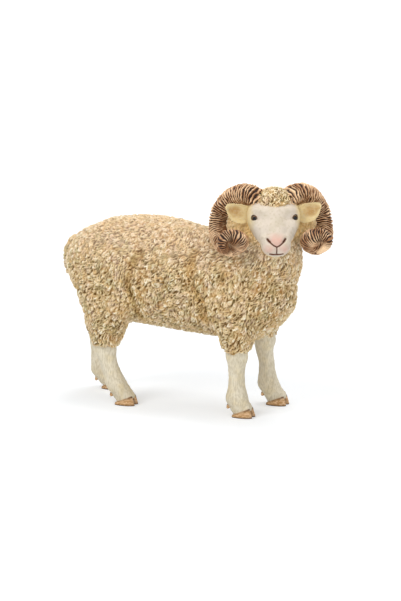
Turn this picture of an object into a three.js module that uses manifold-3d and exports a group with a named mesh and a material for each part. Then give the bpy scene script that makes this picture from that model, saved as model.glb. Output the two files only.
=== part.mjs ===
// Toy ram figure, standing, with its head turned to its right.
// Millimetres. +X is the way the ram walks, +Y its left side, +Z up, floor at z = 0.
// The fleeced body is two moulded shells on a rigid core. The neck, tail, head, horns, ears,
// eyes and lower legs are mouldings of their own, glued in by pegs.
import * as THREE from "three";
import { mergeVertices } from "three/addons/utils/BufferGeometryUtils.js";
import Module from "manifold-3d";

const wasm = await Module();
wasm.setup();

// Fits
const GAP = 0.3; // between two glued mouldings
const OVERRUN = 1; // how far a cutting tool runs past the face that it cuts
const WELD = 1e-4; // corners nearer than this are one
const WALL = 3.2; // body shell

// Body
const BODY_LENGTH = 79.6; // rump to brisket
const BODY_DEPTH = 38.3; // belly line to the top of the back
const BODY_WIDTH = 32.6;
const BELLY_HEIGHT = 24.5; // floor to belly line
const BODY_AHEAD = 35; // brisket, ahead of the middle of the figure
const BARREL_POWER = 2.2; // 2 is an ellipse, more is squarer
const LIMB_POWER = 2.2;
const SEAM_PEG_RADIUS = 1.1;
const SEAM_PEG_LENGTH = 3;
const FOLD_RADIUS = 1.8; // of the hollow folds of the fleece on the flanks
const FOLD_DEPTH = 0.75;

// Thighs and upper arms, all fleece
const HAUNCH_LENGTH = 22;
const HAUNCH_WIDTH = 12.4;
const ARM_LENGTH = 19;
const ARM_WIDTH = 12.4;
const FRONT_TRACK = 20; // between the middles of the front feet
const REAR_TRACK = 18.6;
const LIMB_ROOT_SHARE = 0.457; // height at which a limb leaves the body, from the belly line
const HEM_HEIGHT = 20.6; // where the fleece ends on the legs

// Lower legs and feet
const LEG_THICKNESS = 7.2; // fore and aft, at the knee
const LEG_PEG_RADIUS = 1.6;
const LEG_PEG_LENGTH = 5;
const LEG_SEAT_DEPTH = 1.2; // the leg starts this far inside the fleece
const DEWCLAW_RADIUS = 0.85;
const HOOF_LENGTH = 7.0;
const HOOF_WIDTH = 5.8;
const HOOF_HEIGHT = 2.2; // at its middle
const HOOF_SLOPE = 0.36; // rise of its upper edge towards the toe
const CLEFT_WIDTH = 0.6;

// Neck
const NECK_LENGTH = 23;
const NECK_THICKNESS = 24;
const NECK_LEAN = 10; // how far the neck's head end stands ahead of its root
const NECK_TURN = 5.2; // and to the right
const NECK_ROOT_SHARE = 0.561; // height of its root in the body, from the belly line
const NECK_AHEAD = 19.5;
const NECK_PEG_RADIUS = 4;
const NECK_PEG_LENGTH = 4; // below the neck's root
const RUFF_LENGTH = 11; // the wool behind the cheeks, fore and aft
const RUFF_WIDTH = 26.6;
const RUFF_HEIGHT = 10;

// Tail
const TAIL_LENGTH = 13.2;
const TAIL_THICKNESS = 7;
const TAIL_PEG_RADIUS = 1.4;
const TAIL_PEG_LENGTH = 4;

// Head: its frame has its origin midway between the eyes, +X out of the face
const HEAD_YAW = -63; // degrees, turned to the right
const EYES_AHEAD = 6.75; // of the neck's end, along the face
const EYES_DROP = 1.45; // below the neck's end
const HEAD_LENGTH = 24.5; // back of the skull to the nose
const HEAD_WIDTH = 16.8; // over the eyes
const HEAD_DEPTH = 15.2; // brow to jaw
const HEAD_POWER = 2.15;
const FACE_SLOPE = 39; // degrees below level
const EYE_RADIUS = 1.1;
const EYE_SPACING = 12.6;
const HEAD_PEG_RADIUS = 3;
const HEAD_PEG_LENGTH = 6;
const POLL_LENGTH = 11.5;
const POLL_WIDTH = 12;
const POLL_HEIGHT = 11.4;

// Ears
const EAR_LENGTH = 8.8;
const EAR_WIDTH = 6.4;
const EAR_THICKNESS = 1.5;
const EAR_PEG_RADIUS = 0.6;
const EAR_PEG_LENGTH = 2.4;

// Horns
const HORN_SPREAD = 33.2; // between the centrelines of the two horns, at their widest
const HORN_RISE = 18; // height of the curl's centreline
const HORN_REACH = 19; // fore and aft, centreline
const HORN_THICKNESS = 6.6;
const HORN_RIDGES = 30;
const RIDGE_DEPTH = 0.4;
const HORN_PEG_RADIUS = 1.5;
const HORN_PEG_LENGTH = 3.4;

// Faces round each section
const BODY_SIDES = 24;
const LIMB_SIDES = 12;
const NECK_SIDES = 18;
const HEAD_SIDES = 18;
const LEG_SIDES = 10;
const RUFF_SIDES = 14;
const FOLD_STEPS = 7;
const HORN_SIDES = 8;
const HOOF_SIDES = 14;
const PIN_SIDES = 10;

const at = (x, y, z) => new THREE.Vector3(x, y, z);
const X = at(1, 0, 0);
const Y = at(0, 1, 0);
const Z = at(0, 0, 1);

// A geometry as a manifold solid.
function solid(geometry) {
  const bare = geometry.index ? geometry.toNonIndexed() : geometry.clone();
  bare.deleteAttribute("normal");
  bare.deleteAttribute("uv");
  const merged = mergeVertices(bare, WELD);
  return new wasm.Manifold(
    new wasm.Mesh({
      numProp: 3,
      vertProperties: merged.attributes.position.array,
      triVerts: new Uint32Array(merged.index.array),
    }),
  );
}

// A manifold solid as a geometry.
function geometryOf(body) {
  const mesh = body.getMesh();
  const geometry = new THREE.BufferGeometry();
  const positions = new Float32Array(mesh.vertProperties);
  geometry.setAttribute("position", new THREE.BufferAttribute(positions, 3));
  geometry.setIndex(new THREE.BufferAttribute(new Uint32Array(mesh.triVerts), 1));
  const faceted = geometry.toNonIndexed();
  faceted.computeVertexNormals();
  return faceted;
}

// A closed ring of points: middle + a cos(t) u + b sin(t) v, squared up by power.
function ring(middle, u, v, a, b, sides, power = 2, below = b) {
  return Array.from({ length: sides }, (_, i) => {
    const turn = (2 * Math.PI * i) / sides;
    const cos = Math.cos(turn);
    const sin = Math.sin(turn);
    const along = a * Math.sign(cos) * Math.abs(cos) ** (2 / power);
    const up = (sin < 0 ? below : b) * Math.sign(sin) * Math.abs(sin) ** (2 / power);
    return middle.clone().addScaledVector(u, along).addScaledVector(v, up);
  });
}

// Skins rings of equal count into a closed solid. The rings follow each other along u x v.
function loft(rings) {
  const sides = rings[0].length;
  const points = rings.flat();
  const faces = [];
  for (let i = 0; i + 1 < rings.length; i += 1) {
    for (let j = 0; j < sides; j += 1) {
      const next = (j + 1) % sides;
      const [a, b] = [i * sides + j, i * sides + next];
      faces.push(a, b, b + sides, a, b + sides, a + sides);
    }
  }
  const cap = (first, flip) => {
    const middle = new THREE.Vector3();
    for (let j = 0; j < sides; j += 1) middle.addScaledVector(points[first + j], 1 / sides);
    const centre = points.push(middle) - 1;
    for (let j = 0; j < sides; j += 1) {
      const [a, b] = [first + j, first + ((j + 1) % sides)];
      faces.push(centre, flip ? b : a, flip ? a : b);
    }
  };
  cap(0, true);
  cap((rings.length - 1) * sides, false);
  const geometry = new THREE.BufferGeometry().setFromPoints(points);
  geometry.setIndex(faces);
  return solid(geometry);
}

// Rows between the given rows, each column following a Catmull-Rom spline.
function smoothRows(rows, steps) {
  const value = (i, k) => rows[Math.min(Math.max(i, 0), rows.length - 1)][k];
  const smooth = [];
  for (let i = 0; i + 1 < rows.length; i += 1) {
    for (let s = 0; s < steps; s += 1) {
      const t = s / steps;
      smooth.push(
        rows[i].map((_, k) => {
          const [p, q, r, w] = [value(i - 1, k), value(i, k), value(i + 1, k), value(i + 2, k)];
          const bend = 2 * p - 5 * q + 4 * r - w + (3 * (q - r) + w - p) * t;
          return q + 0.5 * t * (r - p + t * bend);
        }),
      );
    }
  }
  smooth.push(rows[rows.length - 1]);
  return smooth;
}

// A round pin from one point to another.
function pin(radius, from, to) {
  const way = to.clone().sub(from);
  const geometry = new THREE.CylinderGeometry(radius, radius, way.length(), PIN_SIDES);
  geometry.applyQuaternion(new THREE.Quaternion().setFromUnitVectors(Y, way.clone().normalize()));
  geometry.translate(...from.clone().lerp(to, 0.5).toArray());
  return solid(geometry);
}

// A round tube along a curve.
function tube(curve, radius, steps, sides) {
  const frames = curve.computeFrenetFrames(steps);
  return loft(
    frames.normals.map((normal, i) =>
      ring(curve.getPointAt(i / steps), normal, frames.binormals[i], radius, radius, sides),
    ),
  );
}

function box(low, high) {
  const size = high.clone().sub(low);
  const geometry = new THREE.BoxGeometry(...size.toArray());
  geometry.translate(...low.clone().lerp(high, 0.5).toArray());
  return solid(geometry);
}

function ball(radii, middle, sides = 9) {
  const geometry = new THREE.SphereGeometry(1, sides, Math.ceil(sides / 1.5));
  geometry.scale(...radii.toArray());
  geometry.translate(...middle.toArray());
  return solid(geometry);
}

// Body: along, underside, back and half-width, as shares of the body's length, depth and width,
// and how much narrower the section gets towards the back
const torsoShares = [
  [0.0, 0.53, 0.61, 0.1, 0.1],
  [0.012, 0.45, 0.68, 0.32, 0.1],
  [0.05, 0.31, 0.775, 0.61, 0.15],
  [0.12, 0.165, 0.872, 0.83, 0.15],
  [0.2, 0.1, 0.942, 0.93, 0.12],
  [0.32, 0.058, 0.968, 0.98, 0.1],
  [0.46, 0.026, 0.966, 1.0, 0.12],
  [0.6, 0.01, 0.932, 0.985, 0.2],
  [0.73, -0.01, 0.89, 0.94, 0.36],
  [0.83, -0.02, 0.8, 0.87, 0.38],
  [0.91, 0.05, 0.73, 0.73, 0.3],
  [0.96, 0.15, 0.65, 0.53, 0.2],
  [0.99, 0.27, 0.55, 0.28, 0.1],
  [1.0, 0.36, 0.48, 0.1, 0],
];
const cavityShares = [0.13, 0.66];

// The barrel of the body, drawn in by inset on every side, between two shares of its length.
function torso(inset, from = 0, to = 1) {
  const middle = BODY_AHEAD - BODY_LENGTH / 2;
  const rows = smoothRows(torsoShares, 2).filter(([along]) => along >= from && along <= to);
  return loft(
    rows.map(([along, under, back, half, taper]) => {
      const low = BELLY_HEIGHT + under * BODY_DEPTH;
      const high = BELLY_HEIGHT + back * BODY_DEPTH;
      const x = middle + (along - 0.5) * (BODY_LENGTH - 2 * inset);
      const width = Math.max((half * BODY_WIDTH) / 2 - inset, GAP);
      const height = Math.max((high - low) / 2 - inset, GAP);
      const centre = at(x, 0, (low + high) / 2);
      const section = ring(centre, Y, Z, width, height, BODY_SIDES, BARREL_POWER);
      for (const point of section) {
        const rise = Math.max(point.z - centre.z, 0) / height;
        point.y *= 1 - taper * rise * rise;
      }
      return section;
    }),
  );
}

// An upright limb. Each row: height, x, y, half-length, half-width, rise towards the front.
function limb(rows, sides) {
  return loft(
    smoothRows(rows, 2).map(([z, x, y, length, width, tilt = 0]) => {
      const way = X.clone().addScaledVector(Z, tilt);
      return ring(at(x, y, z), way, Y, length, width, sides, LIMB_POWER);
    }),
  );
}

// The four legs: shares of the body's length, from the rump, at which root, hem and foot stand,
// the hem's height as a share, and how late the leg bends forward
const hipShares = {
  front_right: [0.774, 0.8, 0.8315, 1.1, 1],
  front_left: [0.7865, 0.82, 0.88, 1.18, 0.4],
  rear_right: [0.221, 0.205, 0.303, 1.0, 1],
  rear_left: [0.2, 0.078, 0.138, 0.95, 3],
};
const hips = Object.entries(hipShares).map(([name, [root, hem, foot, high, bend]]) => {
  const side = name.endsWith("left") ? 1 : -1;
  return { name, side, front: name.startsWith("front"), root, hem, foot, high, bend };
});
const rump = BODY_AHEAD - BODY_LENGTH;
const station = (share) => rump + share * BODY_LENGTH;
const aside = ({ side, front }) => (side * (front ? FRONT_TRACK : REAR_TRACK)) / 2;
const hemHeight = ({ high }) => high * HEM_HEIGHT;

// Fleece of a limb: height between hem and root, way from hem to root, length and width shares
const fleeceShares = [
  [-0.04, 0.0, 0.4, 0.62],
  [0.06, 0.01, 0.52, 0.72],
  [0.2, 0.08, 0.63, 0.84],
  [0.42, 0.3, 0.81, 0.95],
  [0.7, 0.6, 0.98, 1.0],
  [1.0, 1.0, 0.96, 0.8],
  [1.2, 1.2, 0.7, 0.4],
];

function limbFleece(hip) {
  const { root, hem, front } = hip;
  const [length, width] = front ? [ARM_LENGTH, ARM_WIDTH] : [HAUNCH_LENGTH, HAUNCH_WIDTH];
  const rise = BELLY_HEIGHT + LIMB_ROOT_SHARE * BODY_DEPTH - hemHeight(hip);
  return limb(
    fleeceShares.map(([up, way, long, wide]) => [
      hemHeight(hip) + up * rise,
      station(hem + way * (root - hem)),
      aside(hip) * (1 - 0.12 * up),
      (long * length) / 2,
      (wide * width) / 2,
    ]),
    LIMB_SIDES,
  );
}

// Folds behind the shoulder and before the thigh: shares of the body's length from the rump, of
// its depth from the belly line and of its half-width
const foldShares = [
  [
    [0.391, 0.72, 0.93],
    [0.353, 0.56, 0.981],
    [0.349, 0.405, 0.967],
    [0.37, 0.25, 0.9],
  ],
  [
    [0.617, 0.74, 0.9],
    [0.617, 0.66, 0.875],
    [0.626, 0.535, 0.968],
    [0.661, 0.405, 0.964],
    [0.677, 0.222, 0.92],
  ],
];

const fold = (shares, side) =>
  tube(
    new THREE.CatmullRomCurve3(
      shares.map(([along, up, out]) => {
        const far = (out * BODY_WIDTH) / 2 + FOLD_RADIUS - FOLD_DEPTH;
        return at(station(along), side * far, BELLY_HEIGHT + up * BODY_DEPTH);
      }),
    ),
    FOLD_RADIUS,
    FOLD_STEPS,
    LEG_SIDES,
  );

// Neck: share of its length, of its lean and turn, and its thickness fore and aft and across
const neckShares = [
  [0.0, 0.0, 0.0, 1.36, 1.12],
  [0.17, 0.1, 0.0, 1.36, 1.05],
  [0.35, 0.3, 0.15, 1.23, 0.97],
  [0.52, 0.5, 0.38, 1.04, 0.875],
  [0.7, 0.7, 0.62, 0.875, 0.775],
  [0.87, 0.9, 0.88, 0.71, 0.67],
  [1.0, 1.0, 1.0, 0.46, 0.46],
];
const neckRoot = BELLY_HEIGHT + NECK_ROOT_SHARE * BODY_DEPTH;
const neckPoint = (along) =>
  at(NECK_AHEAD + NECK_LEAN * along, -NECK_TURN * along, neckRoot + NECK_LENGTH * along);

function neckForm() {
  return limb(
    neckShares.map(([up, lean, turn, long, wide]) => [
      neckRoot + up * NECK_LENGTH,
      NECK_AHEAD + lean * NECK_LEAN,
      -turn * NECK_TURN,
      (long * NECK_THICKNESS) / 2,
      (wide * NECK_THICKNESS) / 2,
    ]),
    NECK_SIDES,
  );
}

// Head, in its own frame: along the face's axis, then shares of the head's width and height
const headShares = [
  [0.0, 0.36, 0.09, 0.18],
  [0.04, 0.6, 0.16, 0.32],
  [0.13, 0.83, 0.23, 0.46],
  [0.29, 0.99, 0.31, 0.53],
  [0.45, 1.0, 0.35, 0.53],
  [0.61, 0.84, 0.29, 0.45],
  [0.78, 0.61, 0.25, 0.33],
  [0.9, 0.57, 0.22, 0.29],
  [0.97, 0.43, 0.16, 0.21],
  [1.0, 0.22, 0.08, 0.1],
];
const slope = THREE.MathUtils.degToRad(FACE_SLOPE);
const faceWay = at(Math.cos(slope), 0, -Math.sin(slope));
const faceUp = at(Math.sin(slope), 0, Math.cos(slope));
const skullBack = at(-0.384 * HEAD_LENGTH, 0, 0.232 * HEAD_LENGTH);

function skull(inflate = 0) {
  return loft(
    smoothRows(headShares, 2).map(([along, wide, over, under]) => {
      const reach = along * HEAD_LENGTH + (along - 0.5) * 2 * inflate;
      const middle = skullBack.clone().addScaledVector(faceWay, reach);
      const width = (wide * HEAD_WIDTH) / 2 + inflate;
      const high = over * HEAD_DEPTH + inflate;
      const low = under * HEAD_DEPTH + inflate;
      return ring(middle, Y, faceUp, width, high, HEAD_SIDES, HEAD_POWER, low);
    }),
  );
}

// Horn, on the ram's left: shares of reach, spread and rise, then of thickness
const hornShares = [
  [-0.24, 0.24, 0.2, 1.0],
  [-0.29, 0.34, 0.3, 1.0],
  [-0.45, 0.57, 0.33, 1.0],
  [-0.63, 0.81, 0.18, 1.0],
  [-0.73, 0.97, -0.08, 0.98],
  [-0.63, 1.02, -0.35, 0.96],
  [-0.4, 0.96, -0.545, 0.93],
  [-0.13, 0.8, -0.555, 0.9],
  [0.04, 0.67, -0.43, 0.84],
  [0.14, 0.76, -0.33, 0.75],
  [0.17, 0.91, -0.3, 0.65],
  [0.21, 1.02, -0.37, 0.53],
  [0.2, 1.0, -0.49, 0.41],
  [0.14, 0.91, -0.59, 0.29],
  [0.08, 0.82, -0.65, 0.18],
];

function hornCurve(side) {
  return new THREE.CatmullRomCurve3(
    hornShares.map(([reach, spread, rise]) =>
      at(reach * HORN_REACH, (side * spread * HORN_SPREAD) / 2, rise * HORN_RISE),
    ),
  );
}

// The ridged horn: each ridge is one wide ring and one narrow one.
function hornForm(side) {
  const curve = hornCurve(side);
  const steps = 2 * HORN_RIDGES;
  const frames = curve.computeFrenetFrames(steps);
  const thickness = smoothRows(hornShares, 16).map((row) => row[3]);
  const rings = [];
  for (let i = 0; i <= steps; i += 1) {
    const share = curve.getUtoTmapping(i / steps);
    const wide = thickness[Math.round(share * (thickness.length - 1))];
    const dip = i % 2 && i < 0.9 * steps ? RIDGE_DEPTH : 0;
    const radius = (wide * HORN_THICKNESS) / 2 - dip;
    const [u, v] = [frames.normals[i], frames.binormals[i]];
    rings.push(ring(curve.getPointAt(i / steps), u, v, radius, radius, HORN_SIDES));
  }
  const last = curve.getPointAt(1).addScaledVector(frames.tangents[steps], 0.1 * HORN_THICKNESS);
  const tip = 0.09 * HORN_THICKNESS;
  rings.push(ring(last, frames.normals[steps], frames.binormals[steps], tip, tip, HORN_SIDES));
  return loft(rings);
}

// The room that a horn takes, ridges and all, with a round end at its root.
function hornRoom(side) {
  const curve = hornCurve(side);
  const radius = HORN_THICKNESS / 2 + GAP;
  const root = ball(at(radius, radius, radius), curve.getPoint(0), HORN_SIDES);
  return tube(curve, radius, HORN_RIDGES, HORN_SIDES).add(root);
}

// Ear, on the ram's left: along its length, half-width and cup depth as shares
const earShares = [
  [0.0, 0.58, 0.2],
  [0.15, 0.8, 0.5],
  [0.35, 0.96, 0.9],
  [0.55, 1.0, 1.0],
  [0.75, 0.9, 0.8],
  [0.9, 0.65, 0.4],
  [1.0, 0.24, 0.1],
];
const earRoot = at(-0.17 * HEAD_LENGTH, 0.43 * HEAD_WIDTH, -0.03 * HEAD_LENGTH);
const earWay = at(0.2, 1, 0.4).normalize();
const earUp = at(-0.1, -0.14, 1).normalize();
const earOut = new THREE.Vector3().crossVectors(earWay, earUp).normalize();

// A leaf, cupped to the front: each section is a crescent, wide up and down and thin fore and aft.
function earForm(side, grow = 0) {
  const mirror = (p) => at(p.x, side * p.y, p.z);
  const rings = smoothRows(earShares, 2).map(([along, wide, cup]) => {
    const middle = earRoot.clone().addScaledVector(earWay, along * EAR_LENGTH);
    const half = (wide * EAR_WIDTH) / 2 + grow;
    const section = [];
    for (let j = 0; j < LEG_SIDES; j += 1) {
      const turn = (2 * Math.PI * j) / LEG_SIDES;
      const up = Math.cos(turn);
      const thick = Math.sin(turn) * (EAR_THICKNESS / 2 + grow);
      const bow = cup * EAR_THICKNESS * 0.8 * (up * up - 0.5);
      section.push(
        mirror(middle.clone().addScaledVector(earUp, up * half).addScaledVector(earOut, thick + bow)),
      );
    }
    return side > 0 ? section : section.reverse();
  });
  return loft(rings);
}

// Materials
const finish = (color, roughness) =>
  new THREE.MeshStandardMaterial({ color, roughness, metalness: 0 });
const fleece = finish(0xcdb68a, 0.85);
const face = finish(0xece3d6, 0.6);
const skin = finish(0xe6dfce, 0.62);
const hornFinish = finish(0xa98565, 0.55);
const earFinish = finish(0xd9c48f, 0.7);
const hoofFinish = finish(0xa67848, 0.45);
const eyeFinish = finish(0x1a120c, 0.12);
const coreFinish = finish(0x8c8f92, 0.5);

function part(name, body, material) {
  const mesh = new THREE.Mesh(geometryOf(body), material);
  mesh.name = name;
  return mesh;
}

// Head frame
const head = new THREE.Group();
head.rotation.z = THREE.MathUtils.degToRad(HEAD_YAW);
head.position.set(EYES_AHEAD, 0, -EYES_DROP).applyEuler(head.rotation).add(neckPoint(1));
head.updateMatrixWorld();
const toBody = (body) => solid(geometryOf(body).applyMatrix4(head.matrixWorld));

// Head and what is glued to it
const skullMiddle = skullBack.clone().addScaledVector(faceWay, 0.3 * HEAD_LENGTH);
const headPeg = (grow) => {
  const way = head.worldToLocal(neckPoint(0.3)).sub(skullMiddle).normalize();
  const depth = HEAD_DEPTH / 2 + HEAD_PEG_LENGTH + grow;
  return pin(HEAD_PEG_RADIUS + grow, skullMiddle, skullMiddle.clone().addScaledVector(way, depth));
};
const eye = (side, grow) => {
  const r = EYE_RADIUS + grow;
  return ball(at(r, r, r), at(0.045 * HEAD_LENGTH, (side * EYE_SPACING) / 2, 0));
};
const earPeg = (side, grow) => {
  const out = at(earRoot.x, side * earRoot.y, earRoot.z);
  const way = at(earWay.x, side * earWay.y, earWay.z);
  const from = out.clone().addScaledVector(way, 0.15 * EAR_LENGTH);
  const to = out.clone().addScaledVector(way, -EAR_PEG_LENGTH - grow);
  return pin(EAR_PEG_RADIUS + grow, from, to);
};
const hornPeg = (side, grow) => {
  const curve = hornCurve(side);
  const from = curve.getPointAt(0.12);
  const way = curve.getPointAt(0).sub(from).normalize();
  const to = curve.getPointAt(0).addScaledVector(way, HORN_PEG_LENGTH + grow - HORN_THICKNESS / 2);
  return pin(HORN_PEG_RADIUS + grow, from, to);
};
// The woolly crown stands between the roots of the horns.
const pollForm = (grow) =>
  ball(
    at(POLL_LENGTH / 2 + grow, POLL_WIDTH / 2 + grow, POLL_HEIGHT / 2 + grow),
    at(-0.284 * HORN_REACH, 0, 0.12 * HEAD_LENGTH),
  );

const sides = [
  ["left", 1],
  ["right", -1],
];
let skullBody = skull().add(headPeg(0));
let poll = pollForm(0).subtract(skull(GAP));
for (const [name, side] of sides) {
  const horn = hornForm(side).subtract(skull(GAP)).add(hornPeg(side, 0));
  const ear = earForm(side).subtract(skull(GAP)).add(earPeg(side, 0));
  skullBody = skullBody.subtract(eye(side, GAP));
  skullBody = skullBody.subtract(earPeg(side, GAP));
  skullBody = skullBody.subtract(hornPeg(side, GAP));
  poll = poll.subtract(hornRoom(side));
  head.add(part(name + "_horn", horn, hornFinish));
  head.add(part(name + "_ear", ear, earFinish));
  head.add(part(name + "_eye", eye(side, 0), eyeFinish));
}
head.add(part("head", skullBody, face));
head.add(part("poll_fleece", poll, fleece));

// Pegs between neck, tail and body
const neckPeg = (grow) => {
  const from = neckPoint(0.4);
  const way = neckPoint(0).sub(neckPoint(1)).normalize();
  return pin(NECK_PEG_RADIUS + grow, from, neckPoint(0).addScaledVector(way, NECK_PEG_LENGTH + grow));
};
// Tail: height over its top, way ahead of the rump, and thickness
const tailShares = [
  [-1.0, 0.1, 0.3, 0.34],
  [-0.9, 0.09, 0.66, 0.7],
  [-0.6, 0.09, 0.94, 1.0],
  [-0.3, 0.11, 0.96, 0.96],
  [-0.05, 0.18, 0.8, 0.8],
  [0.1, 0.3, 0.4, 0.4],
];
const tailTop = BELLY_HEIGHT + 0.74 * BODY_DEPTH;
const tailForm = limb(
  tailShares.map(([up, way, long, wide]) => [
    tailTop + up * TAIL_LENGTH,
    rump + way * TAIL_LENGTH,
    0,
    (long * TAIL_THICKNESS) / 2,
    (wide * TAIL_THICKNESS) / 2,
  ]),
  LEG_SIDES,
);
const tailPeg = (grow) => {
  const from = at(rump - 0.15 * TAIL_THICKNESS, 0, tailTop - TAIL_LENGTH / 3);
  const reach = TAIL_THICKNESS / 2 + TAIL_PEG_LENGTH + grow;
  return pin(TAIL_PEG_RADIUS + grow, from, from.clone().addScaledVector(X, reach));
};

const legPeg = (hip, grow) => {
  const from = at(station(hip.hem), aside(hip), hemHeight(hip) - LEG_SEAT_DEPTH);
  const rise = at(0, 0, 2 * LEG_SEAT_DEPTH + LEG_PEG_LENGTH + grow);
  return pin(LEG_PEG_RADIUS + grow, from, from.clone().add(rise));
};

const fetlockShare = 0.12;
// Front leg: height share of the hem, way share from hem to foot, half-length and half-width shares
const frontLegShares = [
  [0.0, 0.85, 0.94, 0.82],
  [0.06, 0.5, 1.03, 0.86],
  [0.13, 0.15, 1.06, 0.88],
  [0.22, 0.05, 0.98, 0.87],
  [0.36, 0.02, 0.78, 0.74],
  [0.52, 0.01, 0.72, 0.71],
  [0.68, 0.0, 0.8, 0.78],
  [0.84, 0.0, 0.98, 0.93],
  [1.0, 0.0, 0.93, 0.9],
];
const rearLegShares = [
  [0.0, 0.97, 0.93, 0.82],
  [0.06, 0.85, 1.02, 0.85],
  [0.14, 0.68, 1.1, 0.88],
  [0.24, 0.53, 1.03, 0.87],
  [0.38, 0.38, 0.9, 0.77],
  [0.55, 0.2, 0.83, 0.73],
  [0.74, 0.05, 0.94, 0.8],
  [0.9, 0.0, 1.06, 0.9],
  [1.0, 0.0, 1.06, 0.9],
];

const legShares = ({ front }) => (front ? frontLegShares : rearLegShares);

// A lower leg with its two dewclaws, on the second of its rows, and its peg.
function lowerLeg(hip) {
  const { hem, foot, bend } = hip;
  const rise = hemHeight(hip) + LEG_SEAT_DEPTH - HOOF_HEIGHT;
  const rows = legShares(hip).map(([up, way, long, wide]) => [
    HOOF_HEIGHT + up * rise,
    station(hem + way ** bend * (foot - hem)),
    aside(hip),
    (long * LEG_THICKNESS) / 2,
    (wide * LEG_THICKNESS) / 2,
    HOOF_SLOPE * Math.max(1 - up / fetlockShare, 0),
  ]);
  let leg = limb(rows, LEG_SIDES);
  const [z, x, y, long, wide] = rows[1];
  for (const side of [-1, 1]) {
    const place = at(x - long, y + (side * wide) / 2, z);
    leg = leg.add(ball(at(DEWCLAW_RADIUS, DEWCLAW_RADIUS, 1.3 * DEWCLAW_RADIUS), place));
  }
  return leg.add(legPeg(hip, 0));
}

// A cloven hoof: the wall flares to the floor, and the cleft runs in from the toe.
function hoof(hip) {
  const x = station(hip.foot);
  const y = aside(hip);
  const wall = (z, share, tilt) => {
    const way = X.clone().addScaledVector(Z, tilt);
    const [long, wide] = [(share * HOOF_LENGTH) / 2, (share * HOOF_WIDTH) / 2];
    return ring(at(x, y, z), way, Y, long, wide, HOOF_SIDES, LIMB_POWER);
  };
  const form = loft([
    wall(0, 0.96, 0),
    wall(HOOF_HEIGHT / 4, 1, 0),
    wall(HOOF_HEIGHT - GAP, 0.92, HOOF_SLOPE),
  ]);
  const cleft = box(
    at(x + 0.08 * HOOF_LENGTH, y - CLEFT_WIDTH / 2, -OVERRUN),
    at(x + HOOF_LENGTH, y + CLEFT_WIDTH / 2, 2 * HOOF_HEIGHT),
  );
  return form.subtract(cleft);
}

// The room that a lower leg and its peg take in the fleece.
function legRoom(hip) {
  const [, , long, wide] = legShares(hip).at(-1);
  const [half, side] = [long, wide].map((share) => (share * LEG_THICKNESS) / 2 + GAP);
  const level = (z) =>
    ring(at(station(hip.hem), aside(hip), z), X, Y, half, side, LEG_SIDES, LIMB_POWER);
  const seat = loft([
    level(hemHeight(hip) - 2 * OVERRUN),
    level(hemHeight(hip) + LEG_SEAT_DEPTH + GAP),
  ]);
  return seat.add(legPeg(hip, GAP));
}

// The fleeced body, with the room for the core and for every peg
let whole = torso(0);
for (const hip of hips) whole = whole.add(limbFleece(hip));
for (const shares of foldShares) {
  whole = whole.subtract(fold(shares, 1)).subtract(fold(shares, -1));
}
for (const hip of hips) whole = whole.subtract(legRoom(hip));
whole = whole.subtract(torso(WALL, ...cavityShares)).subtract(neckPeg(GAP)).subtract(tailPeg(GAP));
const coreEnd = GAP / BODY_LENGTH;
const core = torso(WALL + GAP, cavityShares[0] + coreEnd, cavityShares[1] - coreEnd);

const far = at(2 * BODY_LENGTH, 2 * BODY_WIDTH, 2 * BODY_LENGTH);
const leftHalf = box(at(-far.x, 0, -OVERRUN), far);
const rightHalf = box(far.clone().negate(), at(far.x, 0, far.z));
// The two shells find each other by pegs on the right shell, in the solid rump and brisket
const seamPegShares = [
  [0.085, 0.42],
  [0.9, 0.22],
];
const seamPeg = ([along, up], grow) => {
  const x = station(along);
  const z = BELLY_HEIGHT + up * BODY_DEPTH;
  return pin(SEAM_PEG_RADIUS + grow, at(x, -OVERRUN, z), at(x, SEAM_PEG_LENGTH + grow, z));
};
let leftShell = whole.intersect(leftHalf);
let rightShell = whole.intersect(rightHalf);
for (const place of seamPegShares) {
  rightShell = rightShell.add(seamPeg(place, 0));
  leftShell = leftShell.subtract(seamPeg(place, GAP));
}
// The neck ends in a ruff behind the cheeks.
const ruff = ball(
  at(RUFF_LENGTH / 2, RUFF_WIDTH / 2, RUFF_HEIGHT / 2),
  at(-0.52 * HORN_REACH, 0, -0.245 * HEAD_LENGTH),
  RUFF_SIDES,
);
const neck = neckForm()
  .add(toBody(ruff))
  .subtract(torso(-GAP))
  .add(neckPeg(0))
  .subtract(toBody(hornRoom(-1)))
  .subtract(toBody(hornRoom(1)))
  .subtract(toBody(pollForm(GAP)))
  .subtract(toBody(earForm(-1, GAP)))
  .subtract(toBody(skull(GAP)))
  .subtract(toBody(headPeg(GAP)));

const ram = new THREE.Group();
ram.add(part("left_body_shell", leftShell, fleece));
ram.add(part("right_body_shell", rightShell, fleece));
ram.add(part("body_core", core, coreFinish));
ram.add(part("neck_fleece", neck, fleece));
ram.add(part("tail", tailForm.subtract(torso(-GAP)).add(tailPeg(0)), fleece));
for (const hip of hips) {
  ram.add(part(hip.name + "_leg", lowerLeg(hip), skin));
  ram.add(part(hip.name + "_hoof", hoof(hip), hoofFinish));
}
ram.add(head);

// The origin is on the floor, under the middle of the figure.
const bounds = new THREE.Box3().setFromObject(ram, true);
const middle = bounds.getCenter(new THREE.Vector3());
ram.position.set(-middle.x, -middle.y, -bounds.min.z);

export default ram;
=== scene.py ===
"""Toy ram figure, dressed for rendering: moulded fleece, ridged horns, painted face and hooves.

Shapes are worked out in millimetres in the figure's own axes (+X ahead, +Y to its left, +Z up,
floor at z = 0) and placed in the frame, in metres, when their mesh is made.
"""

import math
from itertools import product

import bpy
import numpy as np
from bpy.props import FloatProperty, FloatVectorProperty, PointerProperty
from bpy.types import Operator, Panel, PropertyGroup
from mathutils import Matrix, Vector


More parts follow.
